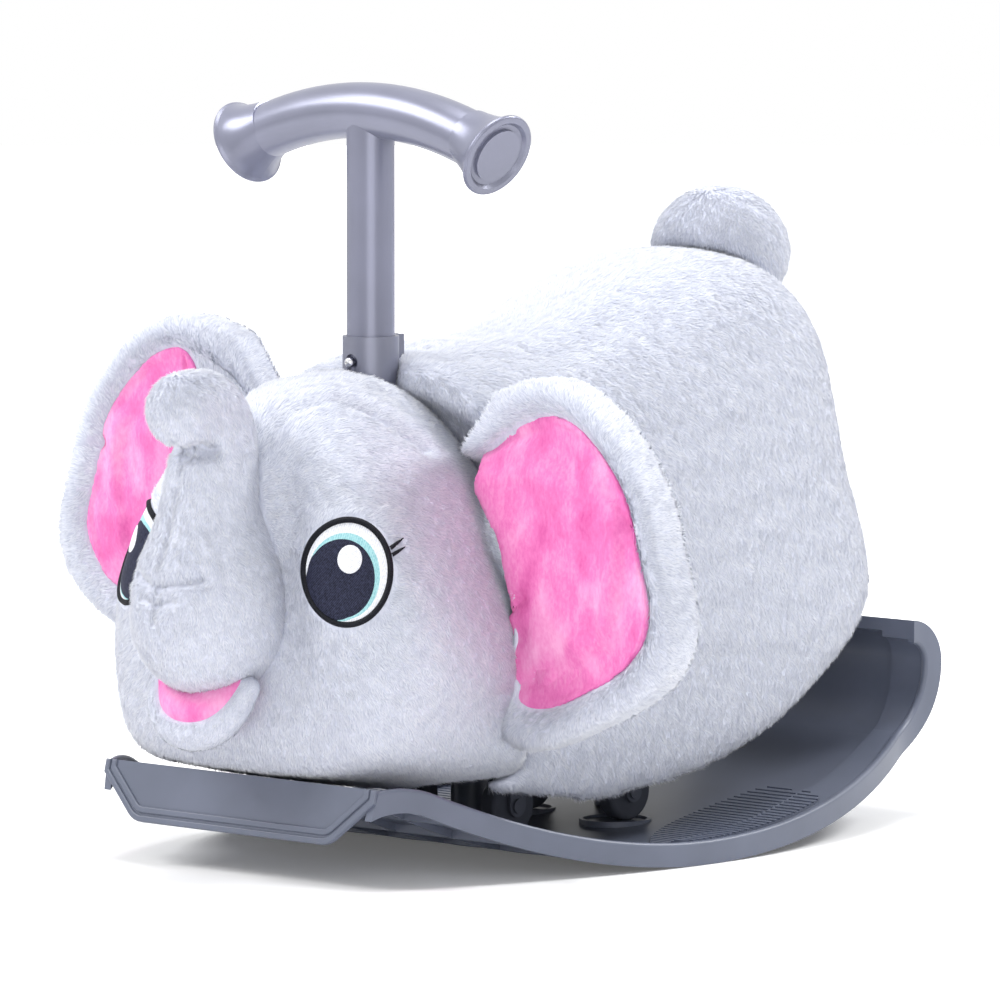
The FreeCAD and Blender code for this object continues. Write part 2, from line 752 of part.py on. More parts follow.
def make_handlebar():
    """The moulded T: an arched grip with a flared, dished flange at each end, and a tube post."""
    centre_z = bar_middle_z - bar_arc_radius
    section = Part.Face(Part.Wire(Part.makeCircle(bar_radius, Vec(0, 0, bar_middle_z), Vec(1, 0, 0))))
    half = section.revolve(Vec(0, 0, centre_z), Vec(0, 1, 0), bar_droop_deg)
    rim_low = flange_radius - flange_rim_round
    rim_turn = flange_rim_round * (1 - math.sqrt(1 / 2))
    foot = Vec(0, 0, -flange_flare_length)
    flare = [Vec(bar_radius, 0, -flange_flare_length),
             Vec((bar_radius * 2 + rim_low) / 3, 0, -flange_flare_length * flange_flare_share),
             Vec(rim_low, 0, -flange_rim)]
    rim = [Vec(flange_radius, 0, -flange_rim + flange_rim_round), Vec(flange_radius, 0, -flange_rim_round),
           Vec(flange_radius - rim_turn, 0, -rim_turn), Vec(rim_low, 0, 0)]
    disc_z = flange_disc_rise - flange_dish
    hollow = [Vec(rim_low, 0, 0), Vec(flange_dish_radius + flange_dish, 0, 0),
              Vec(flange_dish_radius, 0, -flange_dish), Vec(flange_disc_radius, 0, -flange_dish),
              Vec(flange_disc_radius - flange_disc_rise, 0, disc_z), Vec(0, 0, disc_z), foot]
    edges = [Part.makeLine(foot, flare[0]), Part.BSplineCurve(flare).toShape()]
    edges += [Part.makeLine(flare[2], rim[0]), Part.makeLine(rim[0], rim[1]), arc(*rim[1:])]
    edges += [Part.makeLine(start, end) for start, end in zip(hollow, hollow[1:])]
    bell = face_of(edges).revolve(Vec(0, 0, 0), Vec(0, 0, 1), 360)
    bell = Part.Solid(bell.Shells[0]) if not bell.Solids else bell.Solids[0]
    bell.rotate(Vec(0, 0, 0), Vec(0, 1, 0), 90 + bar_droop_deg)
    turn = math.radians(bar_droop_deg)
    bell.translate(Vec(bar_arc_radius * math.sin(turn), 0, centre_z + bar_arc_radius * math.cos(turn)))
    grip = joined(both_sides(half) + both_sides(bell))
    post = upright(post_radius, post_bottom_z, bar_middle_z)
    bar = grip.fuse(post).removeSplitter()
    bore_top = bar_middle_z - bar_radius - post_wall
    bar = bar.cut(upright(post_radius - post_wall, post_bottom_z - over, bore_top))
    return bar.cut(forwards(button_radius + run_clearance, post_radius + over))


def make_snap_button():
    """The sprung button and the bent leaf that pushes it out through post and socket."""
    inner = post_radius - post_wall
    front = post_radius + seat_clearance + socket_wall + button_travel + button_pressed_proud
    flange_low = -(inner - face_clearance - button_flange)
    stem = forwards(button_radius, front + flange_low, flange_low)
    nose = [e for e in stem.Edges
            if abs(e.BoundBox.YMin + front) < near_enough and e.BoundBox.XLength > button_radius]
    stem = stem.makeFillet(button_radius * button_nose_share, nose)
    flange = forwards(button_flange_radius, button_flange, flange_low)
    reach = 2 * button_flange_radius
    corner = upright(inner - face_clearance, button_z - reach, button_z + reach)
    parts["snap_button"] = stem.fuse(flange.common(corner)).removeSplitter()
    leaf_front = flange_low + seat_clearance
    leaf_rear = inner - seat_clearance - clip_wall
    low = button_z - clip_drop
    bend = (leaf_rear + clip_wall - leaf_front) / 2
    mid_y = leaf_front + bend
    outer = [Part.makeLine(point(leaf_front, low), point(leaf_front, button_z + button_flange_radius)),
             Part.makeLine(point(leaf_front, button_z + button_flange_radius),
                           point(leaf_front + clip_wall, button_z + button_flange_radius)),
             Part.makeLine(point(leaf_front + clip_wall, button_z + button_flange_radius),
                           point(leaf_front + clip_wall, low)),
             turn_arc(mid_y, low, bend - clip_wall, 180, 360),
             Part.makeLine(point(mid_y + bend - clip_wall, low), point(mid_y + bend - clip_wall, button_z)),
             Part.makeLine(point(mid_y + bend - clip_wall, button_z), point(mid_y + bend, button_z)),
             Part.makeLine(point(mid_y + bend, button_z), point(mid_y + bend, low)),
             turn_arc(mid_y, low, bend, 360, 180)]
    clip = face_of(Part.sortEdges(outer)[0])
    clip.translate(Vec(-clip_width / 2, 0, 0))
    clip = clip.extrude(Vec(clip_width, 0, 0))
    tube = upright(inner - seat_clearance / 2, low - clip_drop, button_z + clip_drop)
    parts["snap_button_spring"] = clip.common(tube)


section_poles = 16


def plush(stations, grow=0):
    """A soft form lofted through sections: y, half width, bottom, top, and how square each end is.

    Each section's curve is held inside its poles, so that a square corner never swells past its sides.
    """
    wires = []
    for y, half, low, high, low_square, high_square in stations:
        half, low, high = half + grow, low - grow, high + grow
        middle, rise = (low + high) / 2, (high - low) / 2
        ring = []
        for step in range(section_poles):
            turn = 2 * math.pi * (step / section_poles + 1 / 4)
            c, s = math.cos(turn), math.sin(turn)
            square = high_square if s > 0 else low_square
            ring.append(Vec(half * math.copysign(abs(c) ** (2 / square), c), y,
                            middle + rise * math.copysign(abs(s) ** (2 / square), s)))
        curve = Part.BSplineCurve()
        curve.buildFromPoles(ring, True, 3)
        wires.append(Part.Wire(curve.toShape()))
    return Part.makeLoft(wires, True, False)


def between(low, high, share):
    """A value part of the way between two others."""
    return low + (high - low) * share


# Depth share, then width, bottom and top shares, and how square the lower and upper halves are
head_station_shares = (
    (0.0, 0.58, 0.14, 0.66, 3.6, 2.5), (0.06, 0.78, 0.07, 0.82, 4.5, 2.7), (0.17, 0.92, 0.03, 0.92, 5.5, 2.8),
    (0.34, 0.98, 0.01, 0.975, 6.0, 2.9), (0.56, 1.0, 0.0, 1.0, 6.5, 3.0), (0.78, 1.0, 0.0, 0.99, 7.0, 3.0),
    (0.93, 0.97, 0.0, 0.93, 7.0, 2.8), (1.0, 0.87, 0.06, 0.82, 5.0, 2.6),
)


def head_form(grow=0):
    """The head's soft form."""
    stations = []
    for depth, wide, low, high, low_square, high_square in head_station_shares:
        stations.append((between(-head_front_reach, head_rear_y, depth), head_half_width * wide,
                         between(head_bottom_z, head_top_z, low), between(head_bottom_z, head_top_z, high),
                         low_square, high_square))
    return plush(stations, grow)


# Share of the body's length, then its width, how far the seat has risen into the back, how far the
# back has fallen towards the rear, how far the underside has lifted, and the two squareness values
body_station_shares = (
    (0.0, 0.95, 0.0, 0.02, 0.0, 18, 3.1), (0.14, 0.985, 0.0, 0.0, 0.0, 20, 3.2),
    (0.35, 1.0, 0.09, 0.0, 0.0, 20, 3.3), (0.47, 1.0, 0.38, 0.0, 0.0, 20, 3.3),
    (0.57, 1.0, 0.7, 0.0, 0.0, 20, 3.3), (0.68, 0.99, 0.96, 0.0, 0.0, 18, 3.2),
    (0.79, 0.97, 1.0, 0.0, 0.0, 15, 3.1), (0.86, 0.95, 0.8, 0.0, 0.02, 12, 3.0),
    (0.91, 0.93, 0.8, 0.28, 0.06, 9, 2.9), (0.953, 0.9, 0.8, 0.6, 0.2, 7, 2.8),
    (0.984, 0.84, 0.8, 0.88, 0.42, 5, 2.7), (1.0, 0.72, 0.8, 1.06, 0.7, 3, 2.6),
)


def body_under(y):
    """The plush body's lower edge at a given Y."""
    reach = y - body_under_y
    return body_under_z + body_under_radius - math.sqrt(body_under_radius ** 2 - reach ** 2)


def body_form(grow=0):
    """The body's soft form, from the seat's dip to the high back."""
    stations = []
    for along, wide, rise, fall, lift, low_square, high_square in body_station_shares:
        y = between(body_front_y, body_rear_reach, along)
        top = between(seat_z, body_rear_top_z, rise) - (seat_z - body_rear_z) * fall
        low = between(body_under(y), body_rear_z, lift)
        stations.append((y + grow * along, body_half_width * wide, low, top, low_square, high_square))
    return plush(stations, grow)


def well():
    """The space under the body for chassis and casters."""
    top = chassis_bottom_z
    block = box(-well_half_width, well_half_width, well_front_y, well_rear_y, 0, top)
    return block.makeFillet(chassis_corner_radius, [e for e in block.Edges if is_upright(e)])


def hard_core():
    """All that the stuffing closes round: chassis with its bosses and ribs, screws and socket tube."""
    top = chassis_bottom_z + chassis_wall
    rib_top = top + max(chassis_rib_height, boss_height) + seat_clearance
    plate = box(-chassis_half_width - seat_clearance, chassis_half_width + seat_clearance,
                chassis_front_y - seat_clearance, chassis_rear_y + seat_clearance, 0, rib_top)
    tube = upright(post_radius + 2 * seat_clearance + socket_wall, 0, socket_top_z)
    gusset = box(-flange_plate_side / 2, flange_plate_side / 2, -flange_plate_side / 2, flange_plate_side / 2,
                 0, top + flange_plate + gusset_height + seat_clearance)
    slot_half = socket_slot / 2 + ear_lip_wall + seat_clearance
    slot_box = box(-slot_half, slot_half, 0, post_radius + socket_wall + ear_lip_reach + 2 * seat_clearance,
                   socket_top_z - ear_lip_height - seat_clearance, socket_top_z + over)
    return joined([plate, tube, gusset, slot_box])


def make_plush():
    """Head, body cover and core, bolster, tail, trunk, mouth, lip, eyes and ears."""
    hard = hard_core()
    head = head_form()
    crest_keep = layer(-2 * clear_height, band_height + head_crest_gap)
    head = head.cut(crest_keep).cut(hard)
    body = body_form().cut(head_form()).cut(hard).cut(well())
    core = body_form(-cover_wall).cut(head_form(cover_wall)).cut(hard).cut(well())
    parts["seat_core"] = largest(core)
    parts["body_cover"] = largest(body.cut(core))
    parts["head"] = largest(head)
    bolster = scaled_ball(Vec(0, bolster_y, bolster_z), bolster_half_width, bolster_half_depth,
                          bolster_half_height)
    parts["back_bolster"] = largest(bolster.cut(body_form()))
    tail_y = body_rear_reach - tail_radius
    tail_foot = Vec(0, tail_y + tail_lean, tail_z - tail_length)
    tail = Part.makeCone(tail_radius, tail_radius * tail_taper_share, tail_length, Vec(0, tail_y, tail_z),
                         tail_foot - Vec(0, tail_y, tail_z))
    tip = Part.makeSphere(tail_radius, tail_foot)
    parts["tail"] = largest(tail.fuse(tip).cut(body_form()))


def largest(shape):
    """The biggest solid of a cut, without any sliver that the cut left."""
    return max(shape.Solids, key=lambda solid: solid.Volume)


# Height share, then how far forward of the neck and how wide each ring is, in the snout's radius
trunk_ring_shares = (
    (0.0, 0.06, 0.3), (0.03, 0.06, 0.62), (0.11, 0.06, 0.88), (0.26, 0.06, 1.0), (0.4, 0.06, 0.95),
    (0.55, 0.14, 0.78), (0.68, 0.19, 0.64), (0.79, 0.08, 0.59), (0.9, 0.0, 0.55), (1.0, 0.0, 0.53),
)


def make_trunk():
    """Snout, rising trunk and forward-curled tip in one soft form."""
    neck_y = -trunk_front_reach + snout_radius * (1 + trunk_ring_shares[3][1])
    rings = []
    for height, forward, wide in trunk_ring_shares:
        centre = Vec(0, neck_y - snout_radius * forward, between(trunk_foot_z, trunk_elbow_z, height))
        rings.append(Part.Wire(Part.makeCircle(snout_radius * wide, centre, Vec(0, 0, 1))))
    column = Part.makeLoft(rings, True, False)
    elbow_at = Vec(0, neck_y, trunk_elbow_z)
    elbow = Part.makeSphere(snout_radius * trunk_elbow_share, elbow_at)
    reach = Vec(0, -trunk_curl_reach, trunk_curl_rise)
    curl = Part.makeCylinder(trunk_tip_radius, reach.Length, elbow_at, reach)
    ends = [e for e in curl.Edges if e.CenterOfMass.sub(elbow_at + reach).Length < near_enough]
    curl = curl.makeFillet(trunk_tip_radius * trunk_tip_round_share, ends)
    return column.fuse([elbow, curl])


def make_face():
    """Trunk, mouth, lip and eye patches, each cut where the one behind it lies."""
    head = head_form()
    trunk = make_trunk()
    parts["trunk"] = largest(trunk.cut(head))
    mouth = scaled_ball(Vec(0, mouth_y, mouth_z), mouth_half_width, mouth_half_depth, mouth_half_height)
    lip = scaled_ball(Vec(0, lip_y, lip_z), lip_half_width, lip_half_depth, lip_half_height)
    parts["mouth_lining"] = largest(mouth.cut(head).cut(trunk))
    parts["lower_lip"] = largest(lip.cut(head).cut(trunk).cut(mouth))
    grow = FreeCAD.Matrix()
    grow.scale(eye_half_width, eye_half_height, 1)
    disc = Part.makeCylinder(1, head_half_width).transformGeometry(grow)
    disc.rotate(Vec(0, 0, 0), Vec(1, 0, 0), 90)
    disc.rotate(Vec(0, 0, 0), Vec(0, 1, 0), eye_tilt_deg)
    disc.rotate(Vec(0, 0, 0), Vec(0, 0, 1), eye_turn_deg)
    turn, inward = math.radians(eye_turn_deg), head_half_width / 2
    disc.translate(Vec(eye_x - math.sin(turn) * inward, eye_y + math.cos(turn) * inward, eye_z))
    skin, seat = head_form(seat_clearance + eye_patch_wall), head_form(seat_clearance)
    for side, shape in zip(("left", "right"), both_sides(disc)):
        parts[f"eye_{side}"] = largest(skin.common(shape).cut(seat))


# The left ear's outline, as shares of its width out from the root and of its height up from its foot
ear_outline_shares = (
    (0.0, 0.83), (0.10, 0.91), (0.27, 0.975), (0.44, 1.0), (0.62, 0.945), (0.78, 0.83), (0.89, 0.69),
    (0.95, 0.52), (1.0, 0.34), (0.93, 0.22), (0.76, 0.12), (0.53, 0.035), (0.33, 0.0), (0.24, 0.05),
    (0.235, 0.3), (0.22, 0.55), (0.1, 0.72),
)


def ear_face(inset):
    """The ear's outline in the XZ plane, drawn in by inset."""
    points = []
    for out, up in ear_outline_shares:
        points.append(Vec(between(ear_root_x, ear_tip_x, out), 0, between(ear_bottom_z, ear_top_z, up)))
    curve = Part.BSplineCurve()
    curve.interpolate(Points=points, PeriodicFlag=True)
    if not inset:
        return Part.Face(Part.Wire(curve.toShape()))
    centre = sum(points, Vec(0, 0, 0)) * (1 / len(points))
    shrink = FreeCAD.Matrix()
    shrink.move(Vec(-centre.x, 0, -centre.z))
    shrink.scale(1 - 2 * inset / (ear_tip_x - ear_root_x), 1, 1 - 2 * inset / (ear_top_z - ear_bottom_z))
    shrink.move(Vec(centre.x, 0, centre.z))
    return Part.Face(Part.Wire(curve.toShape().transformGeometry(shrink)))


def make_ears():
    """Both ears, each with its lining set into the front face."""
    head = head_form()
    body = body_form()
    ear = ear_face(0).extrude(Vec(0, ear_wall, 0))
    lining = ear_face(lining_inset).extrude(Vec(0, lining_wall, 0))
    lining.translate(Vec(0, lining_sink - over, 0))
    pocket = ear_face(lining_inset).extrude(Vec(0, lining_wall + lining_sink, 0))
    pocket.translate(Vec(0, -over, 0))
    for shape in (ear, lining, pocket):
        shape.rotate(Vec(ear_root_x, 0, 0), Vec(0, 0, 1), -ear_sweep_deg)
        shape.translate(Vec(0, ear_root_y, 0))
    ear = ear.cut(pocket)
    rises = (0, ear_right_rise)
    for side, rise, whole, inset in zip(("left", "right"), rises, both_sides(ear), both_sides(lining)):
        whole.translate(Vec(0, 0, rise))
        inset.translate(Vec(0, 0, rise))
        parts[f"ear_{side}"] = largest(whole.cut(head).cut(body))
        parts[f"ear_lining_{side}"] = largest(inset.cut(head).cut(body).cut(parts[f"ear_{side}"]))


parts["rocker_tray"] = make_tray()
grip = make_foot_grip()
parts["foot_grip_left"], parts["foot_grip_right"] = grip, mirror_x(grip)
parts["chassis"] = make_chassis()
parts["caster_bushes"] = Part.makeCompound([make_caster(*spot) for spot in casters()])
make_dock_bolts()
make_socket()
parts["handlebar"] = make_handlebar()
make_snap_button()
make_plush()
make_face()
make_ears()

# The origin is the middle of the base, between the trunk's tip and the tray's rear
origin_shift = (trunk_front_reach - tray_rear_reach) / 2
os.makedirs("parts", exist_ok=True)
whole = FreeCAD.BoundBox()
for node, shape in parts.items():
    shape.translate(Vec(0, origin_shift, 0))
    shape.exportStep(f"parts/{node}.step")
    whole.add(shape.BoundBox)
    print(f"{node:26s} solids {len(shape.Solids)} volume {shape.Volume:12.0f} mm3 valid {shape.isValid()}")
print("box", whole)
print("shift", origin_shift)
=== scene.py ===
"""Rocking elephant, dressed: plush with modelled pile, minky linings, stitched eyes, moulded base.

Lengths are in millimetres and turned to Blender's metres by MM. The frame gives every place, and the
handlebar post's axis is the line that the face, the ears and the camera are set out from.
"""
from __future__ import annotations

import json
import logging
import math
from dataclasses import dataclass, field
from enum import Enum
from typing import Callable, Iterable, Sequence

import bmesh
import bpy
import numpy as np
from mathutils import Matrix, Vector
from mathutils.bvhtree import BVHTree

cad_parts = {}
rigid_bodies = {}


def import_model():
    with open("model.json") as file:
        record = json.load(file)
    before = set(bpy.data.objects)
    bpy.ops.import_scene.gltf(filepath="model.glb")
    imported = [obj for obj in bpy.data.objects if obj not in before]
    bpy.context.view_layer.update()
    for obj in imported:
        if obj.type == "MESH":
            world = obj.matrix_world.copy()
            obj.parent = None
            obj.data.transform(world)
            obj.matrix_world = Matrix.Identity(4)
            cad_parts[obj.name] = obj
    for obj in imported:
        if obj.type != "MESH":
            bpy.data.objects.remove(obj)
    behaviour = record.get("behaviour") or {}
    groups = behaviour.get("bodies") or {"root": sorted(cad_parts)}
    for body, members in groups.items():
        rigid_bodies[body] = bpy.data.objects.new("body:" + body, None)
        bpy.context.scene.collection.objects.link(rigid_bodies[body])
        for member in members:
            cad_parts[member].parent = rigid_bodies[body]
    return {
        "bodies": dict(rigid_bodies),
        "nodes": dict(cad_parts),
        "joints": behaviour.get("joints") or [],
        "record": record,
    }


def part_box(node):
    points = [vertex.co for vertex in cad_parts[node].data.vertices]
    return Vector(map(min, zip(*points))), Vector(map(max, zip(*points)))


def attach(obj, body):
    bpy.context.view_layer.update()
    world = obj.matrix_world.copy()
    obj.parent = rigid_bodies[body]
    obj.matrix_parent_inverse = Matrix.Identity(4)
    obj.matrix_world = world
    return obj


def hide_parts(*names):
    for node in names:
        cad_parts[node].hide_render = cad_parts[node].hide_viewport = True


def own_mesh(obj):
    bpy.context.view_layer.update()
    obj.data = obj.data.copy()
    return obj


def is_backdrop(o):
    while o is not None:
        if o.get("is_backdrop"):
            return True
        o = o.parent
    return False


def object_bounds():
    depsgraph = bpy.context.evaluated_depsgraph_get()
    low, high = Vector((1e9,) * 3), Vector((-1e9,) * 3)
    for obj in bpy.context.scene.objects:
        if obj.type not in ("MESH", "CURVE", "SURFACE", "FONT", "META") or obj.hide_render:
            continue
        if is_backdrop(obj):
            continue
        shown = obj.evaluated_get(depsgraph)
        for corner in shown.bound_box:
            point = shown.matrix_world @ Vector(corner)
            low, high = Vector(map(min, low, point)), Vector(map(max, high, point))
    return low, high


log = logging.getLogger("rocking_elephant")

MM = 0.001
ROOT = "elephant"

# The way a pile lies, from places on a skin and the skin's normals there
Flow = Callable[[np.ndarray, np.ndarray], np.ndarray]


class Side(Enum):
    """The elephant's own left and right."""

    LEFT = 1
    RIGHT = -1

    @property
    def word(self) -> str:
        """The side's name in a node's name."""
        return self.name.lower()


def linear(hex_colour: str) -> tuple[float, float, float, float]:
    """Turn an sRGB hex colour, RRGGBB, into the linear values that shaders read, with an alpha of 1."""
    def channel(text: str) -> float:
        value = int(text, 16) / 255
        return value / 12.92 if value <= 0.04045 else ((value + 0.055) / 1.055) ** 2.4
    return (channel(hex_colour[0:2]), channel(hex_colour[2:4]), channel(hex_colour[4:6]), 1.0)


def add_node(tree: bpy.types.NodeTree, kind: str, settings: dict | None = None,
             links: dict | None = None) -> bpy.types.Node:
    """Add one shader node with its settings and its incoming links.

    Args:
        tree: The material's node tree.
        kind: The node's type name.
        settings: Attributes of the node, or default values of its sockets, by name or index.
        links: The output sockets that feed its inputs, by input name or index.

    Returns:
        The new node.
    """
    node = tree.nodes.new(kind)
    for key, value in (settings or {}).items():
        if isinstance(key, str) and hasattr(node, key):
            setattr(node, key, value)
        else:
            node.inputs[key].default_value = value
    for key, source in (links or {}).items():
        tree.links.new(source, node.inputs[key])
    return node


def feed(tree: bpy.types.NodeTree, shader: bpy.types.Node, inputs: dict) -> None:
    """Fill a shader's inputs, by name: outputs of nodes are linked, and constants are set."""
    for key, value in inputs.items():
        if isinstance(value, bpy.types.NodeSocket):
            tree.links.new(value, shader.inputs[key])
        else:
            shader.inputs[key].default_value = value


def shade_ramp(tree: bpy.types.NodeTree, factor: bpy.types.NodeSocket,
               stops: Sequence[tuple[float, str]]) -> bpy.types.NodeSocket:
    """Add a colour ramp with any number of stops.

    Args:
        tree: The material's node tree.
        factor: The output that drives the ramp.
        stops: Pairs of place and hex colour.

    Returns:
        The ramp's colour.
    """
    node = add_node(tree, "ShaderNodeValToRGB", links={0: factor})
    elements = node.color_ramp.elements
    while len(elements) < len(stops):
        elements.new(1.0)
    for element, (place, colour) in zip(elements, stops):
        element.position = place
        element.color = linear(colour)
    return node.outputs[0]


def new_material(name: str) -> tuple[bpy.types.Material, bpy.types.NodeTree, bpy.types.Node]:
    """Start a material with a Principled shader on its output.

    Args:
        name: The material's name, after the real finish.

    Returns:
        The material, its tree and its shader.
    """
    material = bpy.data.materials.new(name)
    material.use_nodes = True
    tree = material.node_tree
    tree.nodes.clear()
    shader = add_node(tree, "ShaderNodeBsdfPrincipled")
    add_node(tree, "ShaderNodeOutputMaterial", links={"Surface": shader.outputs[0]})
    return material, tree, shader


def object_place(tree: bpy.types.NodeTree,
                 scale: tuple[float, float, float] = (1, 1, 1)) -> bpy.types.NodeSocket:
    """Give the object's own coordinates in millimetres.

    Args:
        tree: The material's node tree.
        scale: How much each axis is squeezed before the pattern reads it.

    Returns:
        A vector output.
    """
    place = add_node(tree, "ShaderNodeTexCoord")
    stretch = {"Scale": tuple(value / MM for value in scale)}
    return add_node(tree, "ShaderNodeMapping", stretch, {0: place.outputs["Object"]}).outputs[0]


@dataclass(frozen=True)
class Finish:
    """A real finish that a piece can have."""

    name: str

    def build(self) -> bpy.types.Material:
        """Make the finish's material."""
        material, tree, shader = new_material(self.name)
        self.paint(tree, shader)
        return material

    def paint(self, tree: bpy.types.NodeTree, shader: bpy.types.Node) -> None:
        """Give the shader its colour, its gloss and its relief."""
        raise NotImplementedError


@dataclass(frozen=True)
class MouldedPlastic(Finish):
    """Injection-moulded plastic: even colour and a satin skin with a spark-eroded grain.

    The real grain is about 0.1 mm, too fine to show, so it is drawn several times as coarse.
    """

    colour: str
    shade: str
    roughness: float = 0.42
    metallic: float = 0.0
    grain_mm: float = 0.9
    grain_depth_mm: float = 0.02
    cloud_mm: float = 60.0

    def paint(self, tree: bpy.types.NodeTree, shader: bpy.types.Node) -> None:
        """Cloud the colour and the gloss a little, and grain the skin."""
        place = {"Vector": object_place(tree)}
        cloud = add_node(tree, "ShaderNodeTexNoise", {"Scale": 1 / self.cloud_mm, "Detail": 3.0}, place)
        grain = add_node(tree, "ShaderNodeTexNoise", {"Scale": 1 / self.grain_mm, "Detail": 2.0}, place)
        relief = {"Strength": 0.35, "Distance": self.grain_depth_mm * MM}
        bump = add_node(tree, "ShaderNodeBump", relief, {"Height": grain.outputs["Fac"]})
        # Handled plastic is a little glossier in patches
        gloss = add_node(tree, "ShaderNodeMapRange",
                         {"To Min": self.roughness - 0.05, "To Max": self.roughness + 0.06},
                         {"Value": cloud.outputs["Fac"]})
        feed(tree, shader, {
            "Base Color": shade_ramp(tree, cloud.outputs["Fac"],
                                     ((0.35, self.shade), (0.65, self.colour))),
            "Roughness": gloss.outputs[0],
            "Metallic": self.metallic,
            "Normal": bump.outputs[0],
        })


@dataclass(frozen=True)
class Metal(Finish):
    """Plated, drawn or coated metal: a reflection broken by fine drawing lines or grain.

    Real drawing lines are about 0.05 mm apart, too fine to show, so they are drawn coarser.
    """

    colour: str
    roughness: float = 0.25
    metallic: float = 1.0
    grain_mm: tuple[float, float, float] = (0.6, 0.6, 8.0)
    depth_mm: float = 0.01

    def paint(self, tree: bpy.types.NodeTree, shader: bpy.types.Node) -> None:
        """Stretch one grain over gloss and relief."""
        place = object_place(tree, tuple(1 / size for size in self.grain_mm))
        grain = add_node(tree, "ShaderNodeTexNoise", {"Scale": 1.0, "Detail": 3.0}, {"Vector": place})
        spread = add_node(tree, "ShaderNodeMapRange",
                          {"To Min": self.roughness * 0.8, "To Max": self.roughness * 1.25},
                          {"Value": grain.outputs["Fac"]})
        relief = {"Strength": 0.25, "Distance": self.depth_mm * MM}
        bump = add_node(tree, "ShaderNodeBump", relief, {"Height": grain.outputs["Fac"]})
        feed(tree, shader, {
            "Base Color": linear(self.colour),
            "Metallic": self.metallic,
            "Roughness": spread.outputs[0],
            "Normal": bump.outputs[0],
        })


@dataclass(frozen=True)
class PlushSkin(Finish):
    """The knitted ground of a plush, seen only between the tufts: the pile's dye, darkened with painted
    shade.
    """

    deep: str
    light: str
    clump_mm: float = 3.0
    rise_mm: float = 1.2

    def paint(self, tree: bpy.types.NodeTree, shader: bpy.types.Node) -> None:
        """Clump colour and relief, about three times as tall as wide, the way the pile hangs, with
        painted shade in the clumps' hollows.
        """
        clump = add_node(tree, "ShaderNodeTexNoise",
                         {"Scale": 1 / self.clump_mm, "Detail": 4.0, "Roughness": 0.65},
                         {"Vector": object_place(tree, (1.0, 1.0, 0.35))})
        relief = {"Strength": 0.6, "Distance": self.rise_mm * MM}
        bump = add_node(tree, "ShaderNodeBump", relief, {"Height": clump.outputs["Fac"]})
        # Painted shade: the ramp darkens the ground where the clump relief is low
        feed(tree, shader, {
            "Base Color": shade_ramp(tree, clump.outputs["Fac"], ((0.3, self.deep), (0.7, self.light))),
            "Roughness": 0.95,
            "Specular IOR Level": 0.15,
            "Sheen Weight": 0.35,
            "Sheen Roughness": 0.4,
            "Normal": bump.outputs[0],
        })


@dataclass(frozen=True)
class PileFinish(Finish):
    """Cut pile: dull and darkened with painted shade at the root, pale with painted light and slightly
    shiny at the tip, each tuft its own shade.
    """

    root: str
    middle: str
    tip: str

    def paint(self, tree: bpy.types.NodeTree, shader: bpy.types.Node) -> None:
        """Colour every tuft along its length: painted shade at the root, painted light at the tip."""
        reach = add_node(tree, "ShaderNodeAttribute", {"attribute_name": PILE_SHADE})
        # Painted shade at the roots and painted light on the tips, from each tuft's place along its
        # length
        feed(tree, shader, {
            "Base Color": shade_ramp(tree, reach.outputs["Fac"],
                                     ((0.0, self.root), (0.45, self.middle), (1.0, self.tip))),
            "Roughness": 0.75,
            "Specular IOR Level": 0.2,
            "Sheen Weight": 0.3,
            "Sheen Roughness": 0.35,
        })


@dataclass(frozen=True)
class Minky(Finish):
    """Short-clipped velour: a grainy, slightly shiny nap that goes pale where it is brushed up.

    The real nap is a few tenths of a millimetre wide, too fine to show, so it is drawn coarser.
    """

    deep: str
    colour: str
    pale: str
    nap_mm: float = 2.2
    brushed_mm: float = 30.0
    rise_mm: float = 0.8

    def paint(self, tree: bpy.types.NodeTree, shader: bpy.types.Node) -> None:
        """Mix the nap into the brushed patches, and raise the nap."""
        place = {"Vector": object_place(tree, (1.0, 1.0, 0.55))}
        nap = add_node(tree, "ShaderNodeTexNoise",
                       {"Scale": 1 / self.nap_mm, "Detail": 4.0, "Roughness": 0.6}, place)
        brushed = add_node(tree, "ShaderNodeTexNoise",
                           {"Scale": 1 / self.brushed_mm, "Detail": 3.0, "Distortion": 0.4}, place)
        mixed = add_node(tree, "ShaderNodeMath", {"operation": "MULTIPLY_ADD", 1: 0.35},
                         {0: nap.outputs["Fac"], 2: brushed.outputs["Fac"]})
        relief = {"Strength": 0.45, "Distance": self.rise_mm * MM}
        bump = add_node(tree, "ShaderNodeBump", relief, {"Height": nap.outputs["Fac"]})
        feed(tree, shader, {
            "Base Color": shade_ramp(tree, mixed.outputs[0],
                                     ((0.4, self.deep), (0.62, self.colour), (0.86, self.pale))),
            "Roughness": 0.85,
            "Sheen Weight": 0.3,
            "Sheen Roughness": 0.3,
            "Sheen Tint": linear(self.pale),
            "Normal": bump.outputs[0],
        })


